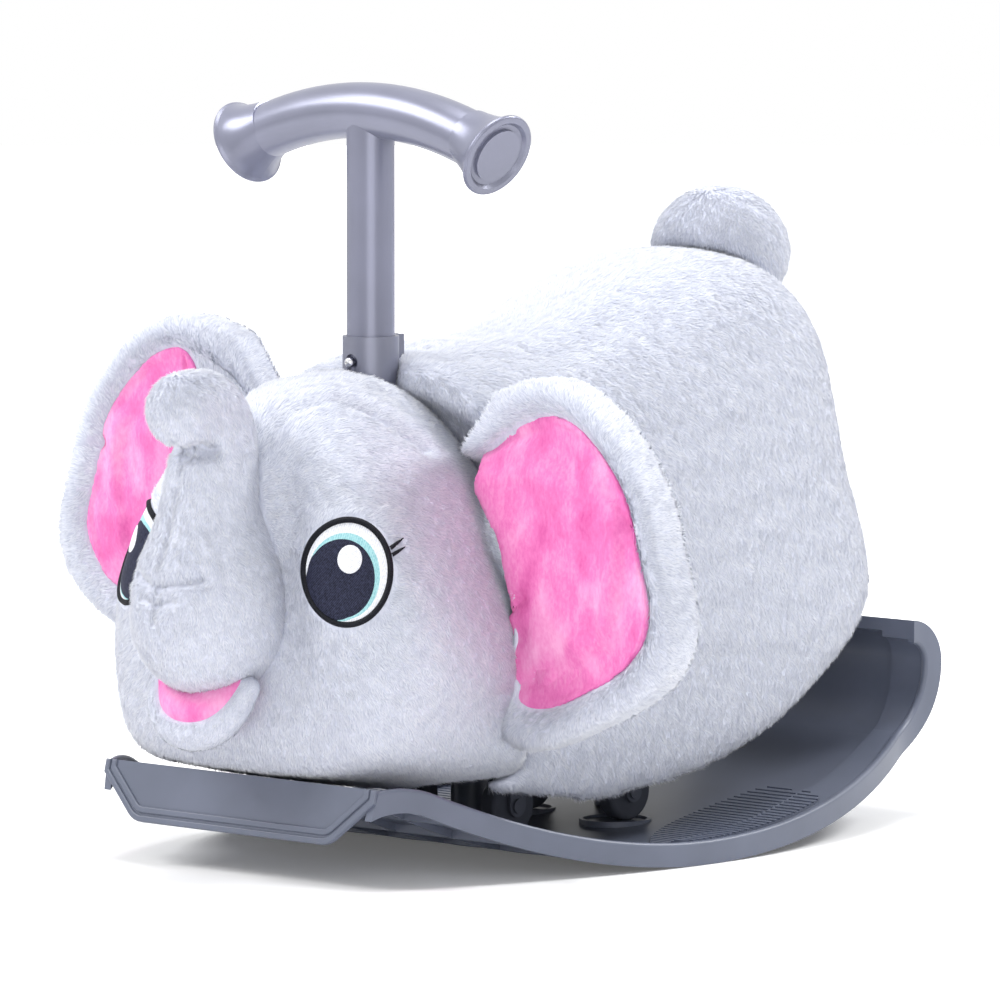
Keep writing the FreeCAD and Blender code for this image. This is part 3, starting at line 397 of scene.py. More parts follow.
@dataclass(frozen=True)
class Thread(Finish):
    """Embroidery thread in satin stitch or fill: narrow bright ridges side by side, with painted shade
    in the grooves between them.

    Real stitches lie 0.4 mm apart, too fine to show, so they are drawn about three times as wide.
    """

    colour: str
    groove_shade: str
    speckle: float = 0.4
    stitch_mm: float = 1.1
    speck_mm: float = 1.4
    ridge: float = 0.16
    rise_mm: float = 0.4

    def paint(self, tree: bpy.types.NodeTree, shader: bpy.types.Node) -> None:
        """Lay ridges along the stitches' way, with a fleck of loose fibre, and paint shade into the
        grooves.
        """
        along = add_node(tree, "ShaderNodeAttribute", {"attribute_name": STITCH_WAY})
        turns = add_node(tree, "ShaderNodeMath",
                         {"operation": "MULTIPLY", 1: 2 * math.pi / self.stitch_mm},
                         {0: along.outputs["Fac"]})
        wave = add_node(tree, "ShaderNodeMath", {"operation": "SINE"}, {0: turns.outputs[0]})
        speck = add_node(tree, "ShaderNodeTexNoise", {"Scale": 1 / self.speck_mm, "Detail": 2.0},
                         {"Vector": object_place(tree)})
        mix = add_node(tree, "ShaderNodeMath", {"operation": "MULTIPLY_ADD", 1: self.ridge},
                       {0: wave.outputs[0], 2: speck.outputs["Fac"]})
        relief = {"Strength": 0.6, "Distance": self.rise_mm * MM}
        bump = add_node(tree, "ShaderNodeBump", relief, {"Height": mix.outputs[0]})
        # Painted shade: the ramp darkens the grooves between the ridges; the flecks of loose fibre are
        # the thread's own
        stops = ((0.5 - self.speckle / 2, self.groove_shade), (0.5 + self.speckle / 2, self.colour))
        feed(tree, shader, {
            "Base Color": shade_ramp(tree, mix.outputs[0], stops),
            "Roughness": 0.6,
            "Specular IOR Level": 0.15,
            "Normal": bump.outputs[0],
        })


# Attributes and the map that carry a tuft's shade, a stitch's way and the pile's own layout
PILE_SHADE = "pile_shade"
PILE_MAP = "OFBake"
STITCH_WAY = "stitch_way"

# How far a tuft looks for a neighbouring surface, how near it may come, and how deep its root sits
PILE_SEARCH_MM = 14.0
PILE_CLEAR_MM = 0.8
PILE_SINK_MM = 0.5

# Knitted ground, dyed with the pile: matt, with painted shade that darkens it in the clumps' shadows
GREY_SKIN = PlushSkin("knitted grey plush ground", "BEC3D4", "D9DCE9")
# Acrylic fibre, cut and tumbled: a painted soft shadow at the roots and a painted pale bloom of light
# over the tips
GREY_PILE = PileFinish("grey acrylic pile", "B9BED0", "DDE1ED", "F7F8FD")
# Polyester velour, clipped short: a strong dye, pale where the nap stands up
PINK_MINKY = Minky("pink minky velour", "D2509B", "E877B8", "F5A6D3")
# Rayon thread, laid in satin stitch or fill: even colour with a soft shine across the ridges, and
# painted shade in the grooves between them
BLACK_THREAD = Thread("black rayon thread", "1B1C25", "07080D")
WHITE_THREAD = Thread("white rayon thread", "FBFCFE", "D9DCE6")
AQUA_THREAD = Thread("aqua rayon thread", "B4E0E4", "8CC4CC")
NAVY_THREAD = Thread("navy rayon thread", "363950", "101220", speckle=0.6)
# Polypropylene dyed in the mass and moulded in a spark-eroded tool: slate grey, satin
SLATE = MouldedPlastic("moulded slate polypropylene", "656B7C", "5E6474", roughness=0.38)
# ABS moulded with metal flake in it: smooth, with a silvery lustre
SILVER = MouldedPlastic("silver moulded ABS", "85879A", "7F8192", roughness=0.3, metallic=0.4,
                        grain_depth_mm=0.01)
# Powder coat baked on steel: an even skin with a blurred reflection
PAINTED = Metal("powder-coated steel", "7F8190", roughness=0.34, metallic=0.5)
FORK_COAT = Metal("grey powder-coated steel", "5A5E6B", roughness=0.6, metallic=0.3)
# Zinc plated bright on steel: pale, with faint drawing lines
ZINC = Metal("bright zinc-plated steel", "C9C9CE", roughness=0.28)
# Spring strip, rolled and heat-blued: dark, with its rolling lines
SPRING = Metal("blued spring steel", "6C6F78", roughness=0.3)
# Chrome polished over nickel: nearly a mirror
CHROME = Metal("chromed steel", "E4E4E8", roughness=0.06, grain_mm=(2.0, 2.0, 2.0), depth_mm=0.002)
# Brass turned from the bar: warm, with turning lines
BRASS = Metal("turned brass", "C9A24E", roughness=0.3)
# Nylon moulded with glass fibre, which breaks its skin: nearly black and matt
NYLON = MouldedPlastic("black glass-filled nylon", "22232A", "1C1D23", roughness=0.6)
# Acetal moulded without dye: off-white and waxy
ACETAL = MouldedPlastic("natural acetal", "DAD9D2", "D2D1CA", roughness=0.4)
# Thermoplastic rubber moulded over the wheel: grey and matt
WHEEL_GREY = MouldedPlastic("grey thermoplastic rubber", "4C505C", "444854", roughness=0.75)

CAD_FINISHES = {
    SLATE: ("rocker_tray", "foot_grip_left", "foot_grip_right"),
    SILVER: ("handlebar",),
    PAINTED: ("handle_socket",),
    CHROME: ("snap_button",),
    SPRING: ("snap_button_spring",),
    NYLON: ("chassis",),
    ACETAL: ("caster_bushes",),
    BRASS: ("threaded_inserts",),
    ZINC: ("dock_bolts", "socket_screws"),
}
CASTER_FINISHES = {"caster_fork": FORK_COAT, "caster_axle": FORK_COAT, "caster_wheel": WHEEL_GREY}


class Bench:
    """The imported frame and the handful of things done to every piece."""

    def __init__(self) -> None:
        """Load the frame and note the post's axis and the CAD box."""
        self.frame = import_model()
        self.cad_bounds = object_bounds()
        low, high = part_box("handlebar")
        self.post_y = (low[1] + high[1]) / 2
        self.made: dict[Finish, bpy.types.Material] = {}

    def at(self, x: float, y: float, z: float) -> Vector:
        """A place in millimetres from the post's axis and the floor."""
        return Vector((x * MM, y * MM + self.post_y, z * MM))

    def finish(self, finish: Finish) -> bpy.types.Material:
        """The material of a finish, made once."""
        if finish not in self.made:
            self.made[finish] = finish.build()
        return self.made[finish]

    def dress(self, piece: bpy.types.Object, finish: Finish) -> None:
        """Give a whole piece one finish."""
        piece.data.materials.clear()
        piece.data.materials.append(self.finish(finish))

    def stand_in(self, piece: bpy.types.Object, slot: str, nodes: Iterable[str] = ()) -> None:
        """Let a piece ride on the elephant, in place of soft solids."""
        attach(piece, ROOT)
        if nodes:
            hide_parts(*nodes)

    def write_size(self, visual: Sequence[Sequence[float]] | None = None) -> None:
        """Gather the CAD box, and the dressed object's box once it is there."""
        boxes = {"cad": [list(corner) for corner in self.cad_bounds]}
        if visual is not None:
            boxes["visual"] = [list(corner) for corner in visual]

    def dress_cad(self) -> None:
        """Give every carried-over node its finish."""
        for finish, nodes in CAD_FINISHES.items():
            for node in nodes:
                self.dress(self.frame["nodes"][node], finish)
        for node, piece in self.frame["nodes"].items():
            for start, finish in CASTER_FINISHES.items():
                if node.startswith(start):
                    self.dress(piece, finish)
        log.info("finished %d nodes", len(self.frame["nodes"]))

    def free_spring(self) -> None:
        """Give the button's leaf spring, which closes against the post's rear wall as the button goes
        in, a mesh of its own.
        """
        spring = self.frame["nodes"]["snap_button_spring"]
        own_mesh(spring)


def ramp(values: np.ndarray, start: float, length: float) -> np.ndarray:
    """Go from 0 at a start to 1 over a length, towards smaller values if the length is below zero."""
    return np.clip((values - start) / length, 0, 1)


def select_only(piece: bpy.types.Object) -> None:
    """Make one piece the only selected and the active one."""
    bpy.ops.object.select_all(action="DESELECT")
    piece.select_set(True)
    bpy.context.view_layer.objects.active = piece


def linked(name: str, data: bpy.types.ID) -> bpy.types.Object:
    """Put a mesh, a lamp or a camera in the scene."""
    thing = bpy.data.objects.new(name, data)
    bpy.context.scene.collection.objects.link(thing)
    return thing


def apply_modifier(piece: bpy.types.Object, kind: str, **settings: object) -> None:
    """Add a modifier with its settings and apply it at once."""
    select_only(piece)
    modifier = piece.modifiers.new(kind.lower(), kind)
    for key, value in settings.items():
        setattr(modifier, key, value)
    bpy.ops.object.modifier_apply(modifier=modifier.name)


def mesh_piece(name: str, vertices: Sequence, faces: Sequence) -> bpy.types.Object:
    """Make a piece from vertices and faces, its faces turned outwards.

    Args:
        name: The piece's name.
        vertices: Its points, in metres.
        faces: Lists of point numbers.

    Returns:
        The linked object.
    """
    mesh = bpy.data.meshes.new(name)
    mesh.from_pydata([tuple(v) for v in vertices], [], [tuple(f) for f in faces])
    piece = linked(name, mesh)
    merge_doubles(piece, outward=True)
    mesh.shade_smooth()
    return piece


def vertex_array(piece: bpy.types.Object) -> np.ndarray:
    """The piece's vertices as an array."""
    flat = np.empty(len(piece.data.vertices) * 3)
    piece.data.vertices.foreach_get("co", flat)
    return flat.reshape(-1, 3)


def normal_array(piece: bpy.types.Object) -> np.ndarray:
    """The piece's vertex normals as an array."""
    flat = np.empty(len(piece.data.vertices) * 3)
    piece.data.vertices.foreach_get("normal", flat)
    return flat.reshape(-1, 3)


def put_vertices(piece: bpy.types.Object, places: np.ndarray) -> None:
    """Write the piece's vertices back."""
    piece.data.vertices.foreach_set("co", places.ravel())
    piece.data.update()


def surface_tree(piece: bpy.types.Object) -> BVHTree:
    """A search tree over the piece's faces."""
    mesh = piece.data
    return BVHTree.FromPolygons([v.co for v in mesh.vertices], [p.vertices for p in mesh.polygons])


class Ripple:
    """Smooth seeded waviness over space: a few sines in chance directions."""

    def __init__(self, seed: int, size_mm: float, waves: int = 9) -> None:
        """Draw the waves' directions and starts.

        Args:
            seed: What fixes the draw.
            size_mm: About how far apart two crests are.
            waves: How many sines are added.
        """
        draw = np.random.default_rng(seed)
        ways = draw.normal(size=(waves, 3))
        ways /= np.linalg.norm(ways, axis=1, keepdims=True)
        self.ways = ways * 2 * math.pi / (size_mm * MM) * draw.uniform(0.6, 1.5, (waves, 1))
        self.starts = draw.uniform(0, 2 * math.pi, waves)

    def __call__(self, places: np.ndarray) -> np.ndarray:
        """The height at each place, about from -1 to 1."""
        total = np.sin(places @ self.ways.T + self.starts).sum(axis=1)
        return total / math.sqrt(len(self.starts)) / 1.4


def soft_copy(bench: Bench, nodes: Sequence[str], name: str, voxel_mm: float,
              relax: int) -> bpy.types.Object:
    """Copy soft solids into one mesh, give it even faces and round its edges as stuffing does.

    Args:
        bench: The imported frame.
        nodes: The soft solids, which become one piece.
        name: The new piece's name.
        voxel_mm: The size of its faces.
        relax: How many times its edges are eased.

    Returns:
        The new piece.
    """
    copies = []
    for node in nodes:
        part = linked(name, bench.frame["nodes"][node].data.copy())
        part.data.materials.clear()
        merge_doubles(part)
        copies.append(part)
    piece = copies[0]
    select_only(piece)
    for part in copies:
        part.select_set(True)
    if len(copies) > 1:
        bpy.ops.object.join()
    even_out(piece, voxel_mm, relax)
    return piece


def merge_doubles(piece: bpy.types.Object, outward: bool = False) -> None:
    """Join the loose corners of a mesh, and turn its faces outwards if asked."""
    shell = bmesh.new()
    shell.from_mesh(piece.data)
    bmesh.ops.remove_doubles(shell, verts=shell.verts, dist=MM / 100)
    if outward:
        bmesh.ops.recalc_face_normals(shell, faces=shell.faces)
    shell.to_mesh(piece.data)
    shell.free()


def even_out(piece: bpy.types.Object, voxel_mm: float, relax: int) -> None:
    """Give a closed piece even faces, and ease its edges."""
    apply_modifier(piece, "REMESH", mode="VOXEL", voxel_size=voxel_mm * MM, use_smooth_shade=True)
    ease(piece, relax)
    piece.data.shade_smooth()


def ease(piece: bpy.types.Object, times: int) -> None:
    """Smooth a piece a number of times."""
    apply_modifier(piece, "SMOOTH", factor=0.5, iterations=times)


# How finely a swept tube follows its spine, and the angles of the rings on its domed ends
SPINE_STEPS = 8
DOME_DEG = (88, 75, 60, 45, 30, 15)


def swept(bench: Bench, name: str, spine: Sequence[Sequence[float]],
          sides: int = 40) -> bpy.types.Object:
    """A round stuffed tube along a smooth spine, domed at both ends.

    Args:
        bench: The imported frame.
        name: The piece's name.
        spine: Places that its centre line goes through, as X, Y, Z and its radius there, in mm.
        sides: How many faces it has around.

    Returns:
        The closed tube.
    """
    rows = np.array([(*bench.at(x, y, z), radius * MM) for x, y, z, radius in spine])
    rows = np.vstack([2 * rows[0] - rows[1], rows, 2 * rows[-1] - rows[-2]])
    line = []
    for before, a, b, after in zip(rows[:-3], rows[1:-2], rows[2:-1], rows[3:]):
        # A smooth curve through a and b that leaves and arrives along its neighbours' chords
        square, cube = 2 * before - 5 * a + 4 * b - after, 3 * a - before - 3 * b + after
        for t in np.linspace(0, 1, SPINE_STEPS, endpoint=False):
            line.append(0.5 * (2 * a + (b - before) * t + square * t ** 2 + cube * t ** 3))
    line.append(rows[-2])
    ends = []
    for end, inner in ((line[0], line[1]), (line[-1], line[-2])):
        outward = unit((end - inner)[None, :3])[0]
        ends.append([(*(end[:3] + outward * end[3] * math.sin(t)), end[3] * math.cos(t))
                     for t in map(math.radians, DOME_DEG)])
    rings = np.array(ends[0] + [tuple(row) for row in line] + ends[1][::-1])
    ways = unit(np.gradient(rings[:, :3], axis=0))
    across = np.array([1.0, 0.0, 0.0]) if abs(ways[0][0]) < 0.7 else np.array([0.0, 1.0, 0.0])
    turns = np.linspace(0, 2 * math.pi, sides, endpoint=False)[:, None]
    vertices = []
    for place, way in zip(rings, ways):
        across = across - way * across.dot(way)
        across /= np.linalg.norm(across)
        other = np.cross(way, across)
        vertices.append(place[:3] + (np.cos(turns) * across + np.sin(turns) * other) * place[3])
    last = (len(rings) - 1) * sides
    faces = [[row + k, row + (k + 1) % sides, row + sides + (k + 1) % sides, row + sides + k]
             for row in range(0, last, sides) for k in range(sides)]
    faces += [list(range(sides)), list(range(last, last + sides))]
    return mesh_piece(name, np.concatenate(vertices), faces)


# A light cover that stretches a little and hardly bends, in the cloth solver's own units
COVER_CLOTH = {
    "quality": 4, "mass": 0.15, "tension_stiffness": 12, "compression_stiffness": 12,
    "shear_stiffness": 6, "bending_stiffness": 0.6, "use_pressure": True,
}
STUFFING_FRAMES = 20


def stuff(piece: bpy.types.Object, cap_mm: float, pressure: float = 4.0, slack: float = 0.0,
          pinned: Callable[[np.ndarray], np.ndarray] | None = None) -> None:
    """Blow a cover up from inside as Blender's cloth, and keep where it comes to rest.

    Args:
        piece: The closed cover.
        cap_mm: The furthest that a point may move.
        pressure: The stuffing's push.
        slack: How much more cloth there is than skin, as a share.
        pinned: Tells how firmly each place is sewn down, from 0 to 1.
    """
    rest = vertex_array(piece)
    select_only(piece)
    cloth = piece.modifiers.new("stuffing", "CLOTH")
    for key, value in COVER_CLOTH.items():
        setattr(cloth.settings, key, value)
    cloth.settings.uniform_pressure_force = pressure
    cloth.settings.shrink_min = -slack
    cloth.settings.effector_weights.gravity = 0
    cloth.collision_settings.use_collision = False
    if pinned is not None:
        group = piece.vertex_groups.new(name="sewn down")
        for index, weight in enumerate(pinned(rest)):
            if weight > 0.02:
                group.add([index], float(weight), "REPLACE")
        cloth.settings.vertex_group_mass = group.name
    cloth.point_cache.frame_start, cloth.point_cache.frame_end = 1, STUFFING_FRAMES
    for frame in range(1, STUFFING_FRAMES + 1):
        bpy.context.scene.frame_set(frame)
    bpy.ops.object.modifier_apply(modifier=cloth.name)
    bpy.context.scene.frame_set(1)
    piece.vertex_groups.clear()
    moved = vertex_array(piece) - rest
    reach = np.linalg.norm(moved, axis=1, keepdims=True)
    capped = cap_mm * MM * np.tanh(reach / (cap_mm * MM))
    put_vertices(piece, rest + moved / np.maximum(reach, 1e-9) * capped)
    ease(piece, 2)
    log.info("%s: stuffed, moved %.1f mm at most", piece.name, float(capped.max()) / MM)


def unit(vectors: np.ndarray) -> np.ndarray:
    """The vectors, each brought to length one."""
    return vectors / np.maximum(np.linalg.norm(vectors, axis=1, keepdims=True), 1e-9)


def tuck(piece: bpy.types.Object, path: Sequence[Vector], depth_mm: float, width_mm: float) -> None:
    """Press a crease or a sewn seam into a stuffed piece, or raise a ridge with a depth below zero.

    Args:
        piece: The piece, of fine even faces.
        path: Places near its skin that the crease follows.
        depth_mm: How deep it is.
        width_mm: How far from its line it has faded to a third.
    """
    tree = surface_tree(piece)
    fine = []
    for a, b in zip(path, path[1:]):
        steps = max(2, int((b - a).length / (2 * MM)))
        fine += [tree.find_nearest(a.lerp(b, i / steps))[0] for i in range(steps)]
    line = np.array(fine)
    places, normals = vertex_array(piece), normal_array(piece)
    gap = np.full(len(places), np.inf)
    for point in line:
        gap = np.minimum(gap, np.linalg.norm(places - point, axis=1))
    press = depth_mm * MM * np.exp(-(gap / (width_mm * MM)) ** 2)
    put_vertices(piece, places - normals * press[:, None])


@dataclass
class Pile:
    """The pile of one plush piece: thousands of fine tapered tufts that lie along a flow.

    A real fibre is a few hundredths of a millimetre thick, so each tuft stands for a lock of fibres.
    """

    seed: int
    per_mm2: float = 0.8
    length_mm: float = 5.4
    width_mm: float = 1.0
    lift_deg: float = 14.0
    lift_wave_deg: float = 6.0
    lift_stray_deg: float = 4.0
    stray_deg: float = 24.0
    clump_mm: float = 11.0
    shade_wave: float = 0.13
    tilt_share: float = 0.55
    clear_of: list[BVHTree] = field(default_factory=list)
    keep: Callable[[np.ndarray], np.ndarray] | None = None

    def roots(self, skin: bpy.types.Object) -> tuple[np.ndarray, np.ndarray]:
        """Scatter the tufts' roots evenly over the skin.

        Args:
            skin: The piece that carries the pile.

        Returns:
            The roots and the skin's normal at each.
        """
        draw = np.random.default_rng(self.seed)
        mesh = skin.data
        mesh.calc_loop_triangles()
        corners = np.empty(len(mesh.loop_triangles) * 3, dtype=np.int64)
        mesh.loop_triangles.foreach_get("vertices", corners)
        corners = corners.reshape(-1, 3)
        places, normals = vertex_array(skin), normal_array(skin)
        a, b, c = (places[corners[:, i]] for i in range(3))
        area = np.linalg.norm(np.cross(b - a, c - a), axis=1) / 2
        total = area.cumsum()
        count = int(total[-1] / MM ** 2 * self.per_mm2)
        wanted = (np.arange(count) + draw.uniform(0, 1, count)) / count * total[-1]
        chosen = np.searchsorted(total, wanted)
        chosen = np.minimum(chosen, len(area) - 1)
        s, t = draw.uniform(0, 1, (2, count))
        flip = s + t > 1
        s, t = np.where(flip, 1 - s, s), np.where(flip, 1 - t, t)
        share = np.stack([1 - s - t, s, t], axis=1)[:, :, None]
        roots = (places[corners[chosen]] * share).sum(axis=1)
        return roots, unit((normals[corners[chosen]] * share).sum(axis=1))

    def shown(self, roots: np.ndarray) -> np.ndarray:
        """Tell which roots lie on open skin, clear of every neighbour.

        Args:
            roots: The roots' places.

        Returns:
            True for each root that is kept.
        """
        kept = np.ones(len(roots), dtype=bool)
        if self.keep is not None:
            kept &= self.keep(roots)
        for tree in self.clear_of:
            for i in np.flatnonzero(kept):
                place = Vector(roots[i])
                near, normal, _, distance = tree.find_nearest(place, PILE_SEARCH_MM * MM)
                if near is None:
                    continue
                if (place - near).dot(normal) < 0 or distance < PILE_CLEAR_MM * MM:
                    kept[i] = False
        return kept

    def grow(self, skin: bpy.types.Object, name: str, flow: Flow) -> bpy.types.Object:
        """Grow the pile on a skin.

        Args:
            skin: The piece that carries it.
            name: The pile's own name.
            flow: The way the pile lies at each place.

        Returns:
            The pile as one piece.
        """
        roots, normals = self.roots(skin)
        kept = self.shown(roots)
        roots, normals = roots[kept], normals[kept]
        draw = np.random.default_rng(self.seed + 1)
        count = len(roots)
        way = flow(roots, normals)
        way = unit(way - normals * (way * normals).sum(axis=1, keepdims=True))
        side = np.cross(normals, way)
        # Tufts lean together in clumps, and each strays a little by itself
        clumped = Ripple(self.seed + 2, self.clump_mm)(roots) * self.stray_deg
        turn = np.radians(clumped + draw.normal(0, self.stray_deg / 3, count))[:, None]
        way = way * np.cos(turn) + side * np.sin(turn)
        side = np.cross(normals, way)
        waved = self.lift_wave_deg * Ripple(self.seed + 3, self.clump_mm * 0.7)(roots)
        lift = np.radians(self.lift_deg + waved + draw.normal(0, self.lift_stray_deg, count))[:, None]
        reach = self.length_mm * MM * draw.uniform(0.7, 1.2, (count, 1))
        half = self.width_mm / 2 * MM * draw.uniform(0.7, 1.3, (count, 1))
        tip = way * np.cos(lift) + normals * np.sin(lift)
        base = roots - normals * PILE_SINK_MM * MM
        places = np.stack([base + side * half, base - side * half, roots + tip * reach], axis=1)
        mesh = bpy.data.meshes.new(name)
        mesh.vertices.add(count * 3)
        mesh.vertices.foreach_set("co", places.ravel())
        mesh.loops.add(count * 3)
        mesh.loops.foreach_set("vertex_index", np.arange(count * 3))
        mesh.polygons.add(count)
        mesh.polygons.foreach_set("loop_start", np.arange(count) * 3)
        mesh.update(calc_edges=True)
        waved = self.shade_wave * Ripple(self.seed + 4, self.clump_mm)(roots)[:, None]
        own = draw.uniform(0.62, 1.0, (count, 1)) + waved
        # 0 at the root and the tuft's own tone at the tip: the finish paints shade at the root and
        # light at the tip along it
        shade = np.tile(np.array([[0.0, 0.0, 1.0]]), (count, 1)) * own
        mesh.attributes.new(PILE_SHADE, "FLOAT", "POINT").data.foreach_set("value", shade.ravel())
        # Every tuft has a narrow column of the map to itself
        column = draw.uniform(0.01, 0.99, (count, 1)).repeat(3, axis=1)
        row = np.tile(np.array([[0.02, 0.02, 0.98]]), (count, 1))
        layout = np.stack([column, row], axis=2)
        mesh.uv_layers.new(name=PILE_MAP).data.foreach_set("uv", layout.ravel())
        mesh.shade_smooth()
        # Lit as the skin is, tilted towards the tips, so that the pile shades as one soft mass
        soft = unit(np.repeat(normals, 3, axis=0) + np.repeat(tip, 3, axis=0) * self.tilt_share)
        mesh.normals_split_custom_set_from_vertices(soft)
        log.info("%s: %d tufts", name, count)
        return linked(name, mesh)


def steady(x: float, y: float, z: float) -> Flow:
    """A pile that lies one way all over."""
    way = np.array([[x, y, z]])
    return lambda places, normals: np.repeat(way, len(places), axis=0)


def fanned(centre: Vector, droop: float, back: float = 0) -> Flow:
    """A pile that fans out from a centre and droops.

    Args:
        centre: Where the fan starts.
        droop: How strongly the pile hangs, beside the fan's own pull of 1.
        back: How strongly it is brushed back over a rim.

    Returns:
        The flow.
    """
    def way(places: np.ndarray, normals: np.ndarray) -> np.ndarray:
        return unit(places - np.array(centre)) + np.array([[0, back, -droop]])
    return way


@dataclass(frozen=True)
class Stitching:
    """One field of embroidery: a filled ellipse, or a ring of satin stitch with its own width."""

    thread: Thread
    centre: tuple[float, float]
    half: tuple[float, float]
    rise_mm: float
    crown_mm: float = 0.35
    ring_mm: float = 0.0
    lay_deg: float = 0.0


@dataclass(frozen=True)
class Lash:
    """One satin-stitched lash, from its root to its tip in the eye's own millimetres."""

    root: tuple[float, float]
    tip: tuple[float, float]
    width_mm: float = 2.0


# The eye's layers from the ground up, in its own millimetres; the black ring is the last and widest
EYE_FIELDS = (
    Stitching(WHITE_THREAD, (0.0, 0.0), (28.4, 33.4), 0.7, lay_deg=20),
    Stitching(AQUA_THREAD, (-1.2, -2.4), (25.2, 30.0), 0.95, lay_deg=20),
    Stitching(NAVY_THREAD, (-2.9, -4.2), (23.4, 27.4), 1.25, crown_mm=0.5, lay_deg=-35),
    Stitching(WHITE_THREAD, (1.4, 8.5), (8.5, 9.8), 1.9, crown_mm=0.4, lay_deg=60),
    Stitching(BLACK_THREAD, (0.0, 0.0), (30.4, 35.5), 1.2, crown_mm=1.2, ring_mm=4.0),
)
EYE_LASHES = (Lash((26.6, 17.4), (34.4, 23.9), 2.8), Lash((28.2, 13.4), (36.0, 18.6), 2.6))
# How far the eye leans, and how far its patch faces outwards from straight ahead
EYE_TILT_DEG = 5.0
EYE_TURN_DEG = 44.0


@dataclass
class EmbroideredEye:
    """One eye: satin and fill stitches in layers on a patch of the head."""

    bench: Bench
    side: Side
    skin: BVHTree
    across_mm: float = 93.0
    ahead_mm: float = -116.0
    up_mm: float = 207.0
    depth_mm: float = 45.0
    spread_mm: float = 42.0
    spread_pull: float = 2.2

    def leaned(self, u: float | np.ndarray, v: float | np.ndarray, lean_deg: float) -> tuple:
        """Turn a place in the eye's plane about its middle."""
        lean = math.radians(lean_deg)
        return u * math.cos(lean) + v * math.sin(lean), v * math.cos(lean) - u * math.sin(lean)

    def axes(self) -> tuple[Vector, Vector, Vector, Vector]:
        """The eye's middle, and its outward, sideways and upward axes."""
        hand, turn = self.side.value, math.radians(EYE_TURN_DEG)
        middle = self.bench.at(self.across_mm * hand, self.ahead_mm, self.up_mm)
        out = Vector((math.sin(turn) * hand, -math.cos(turn), 0))
        across = Vector((math.cos(turn) * hand, math.sin(turn), 0))
        return middle, out, across, Vector((0, 0, 1))

    def inside(self, places: np.ndarray, spare_mm: float = 0.4) -> np.ndarray:
        """Tell which places lie within the eye's outline or on a lash."""
        middle, out, across, up = (np.array(axis) for axis in self.axes())
        offset = (places - middle) / MM
        u, v = self.leaned(offset @ across, offset @ up, -EYE_TILT_DEG)
        half_u, half_v = (size + spare_mm for size in EYE_FIELDS[-1].half)
        found = (u / half_u) ** 2 + (v / half_v) ** 2 < 1
        for lash in EYE_LASHES:
            root = np.array(lash.root)
            reach = np.array(lash.tip) - root
            along = np.clip(((np.stack([u, v], axis=1) - root) @ reach) / (reach @ reach), 0, 1)
            near = root + along[:, None] * reach
            found |= np.hypot(u - near[:, 0], v - near[:, 1]) < lash.width_mm * 0.6
        # Not on the far side of the head
        return found & (offset @ out > -self.depth_mm)

    def spread(self, places: np.ndarray) -> np.ndarray:
        """The pull of the pile away from the eye, fading with distance."""
        middle, out, _, _ = (np.array(axis) for axis in self.axes())
        offset = places - middle
        offset = offset - (offset @ out)[:, None] * out
        far = np.linalg.norm(offset, axis=1, keepdims=True)
        fading = np.exp(-(far / (self.spread_mm * MM)) ** 4)
        return offset / np.maximum(far, 1e-9) * self.spread_pull * fading

    def place(self, u: float, v: float, rise_mm: float) -> Vector:
        """A place on the head in the eye's own millimetres, lifted off the skin."""
        middle, out, across, up = self.axes()
        side, high = self.leaned(u, v, EYE_TILT_DEG)
        start = middle + (across * side + up * high + out * 60) * MM
        hit, normal, _, _ = self.skin.ray_cast(start, -out)
        if hit is None:
            raise ValueError(f"the eye reaches past the head at {u:.1f}, {v:.1f}")
        # Thread stands up partly from the skin and partly towards the needle
        return hit + (out * 0.4 + normal * 0.6).normalized() * rise_mm * MM

    def field_rows(self, field_: Stitching) -> list[list[tuple[float, float, float, float]]]:
        """Rows of u, v, rise and stitch way that cover one field, from its edge inwards."""
        rows = []
        steps, turns = 9, 96
        lay = math.radians(field_.lay_deg)
        for i in range(steps + 1):
            s, row = i / steps, []
            if field_.ring_mm:
                # A ring is round across its width, and its stitches run across it
                arch = math.sin(math.pi * s)
                half = [size - field_.ring_mm * s for size in field_.half]
                rise = field_.rise_mm * (0.3 + 0.7 * arch) + field_.crown_mm * arch
            else:
                # A fill climbs steeply from its edge and then crowns gently
                half = [size * (1 - s) for size in field_.half]
                rise = field_.rise_mm * min(1, 6 * s + 0.35) + field_.crown_mm * (1 - (1 - s) ** 2)
            for k in range(turns):
                t = 2 * math.pi * k / turns
                u = field_.centre[0] + half[0] * math.cos(t)
                v = field_.centre[1] + half[1] * math.sin(t)
                way = t * sum(field_.half) / 2 if field_.ring_mm else 0.0
                row.append((u, v, rise, way or u * math.cos(lay) + v * math.sin(lay)))
            rows.append(row)
        return rows

    def lash_rows(self, lash: Lash) -> list[list[tuple[float, float, float, float]]]:
        """Rows of u, v, rise and stitch way across one lash, from its root to its tip."""
        (u0, v0), (u1, v1) = lash.root, lash.tip
        length = math.hypot(u1 - u0, v1 - v0)
        nu, nv = -(v1 - v0) / length, (u1 - u0) / length
        rows, steps = [], 10
        for i in range(steps + 1):
            s = i / steps
            half = lash.width_mm / 2 * (1 - 0.75 * s ** 2)
            rows.append([(u0 + (u1 - u0) * s + nu * half * w, v0 + (v1 - v0) * s + nv * half * w,
                          1.1 + 1.2 * (1 - w * w), length * s) for w in (-1, -0.5, 0, 0.5, 1)])
        return rows

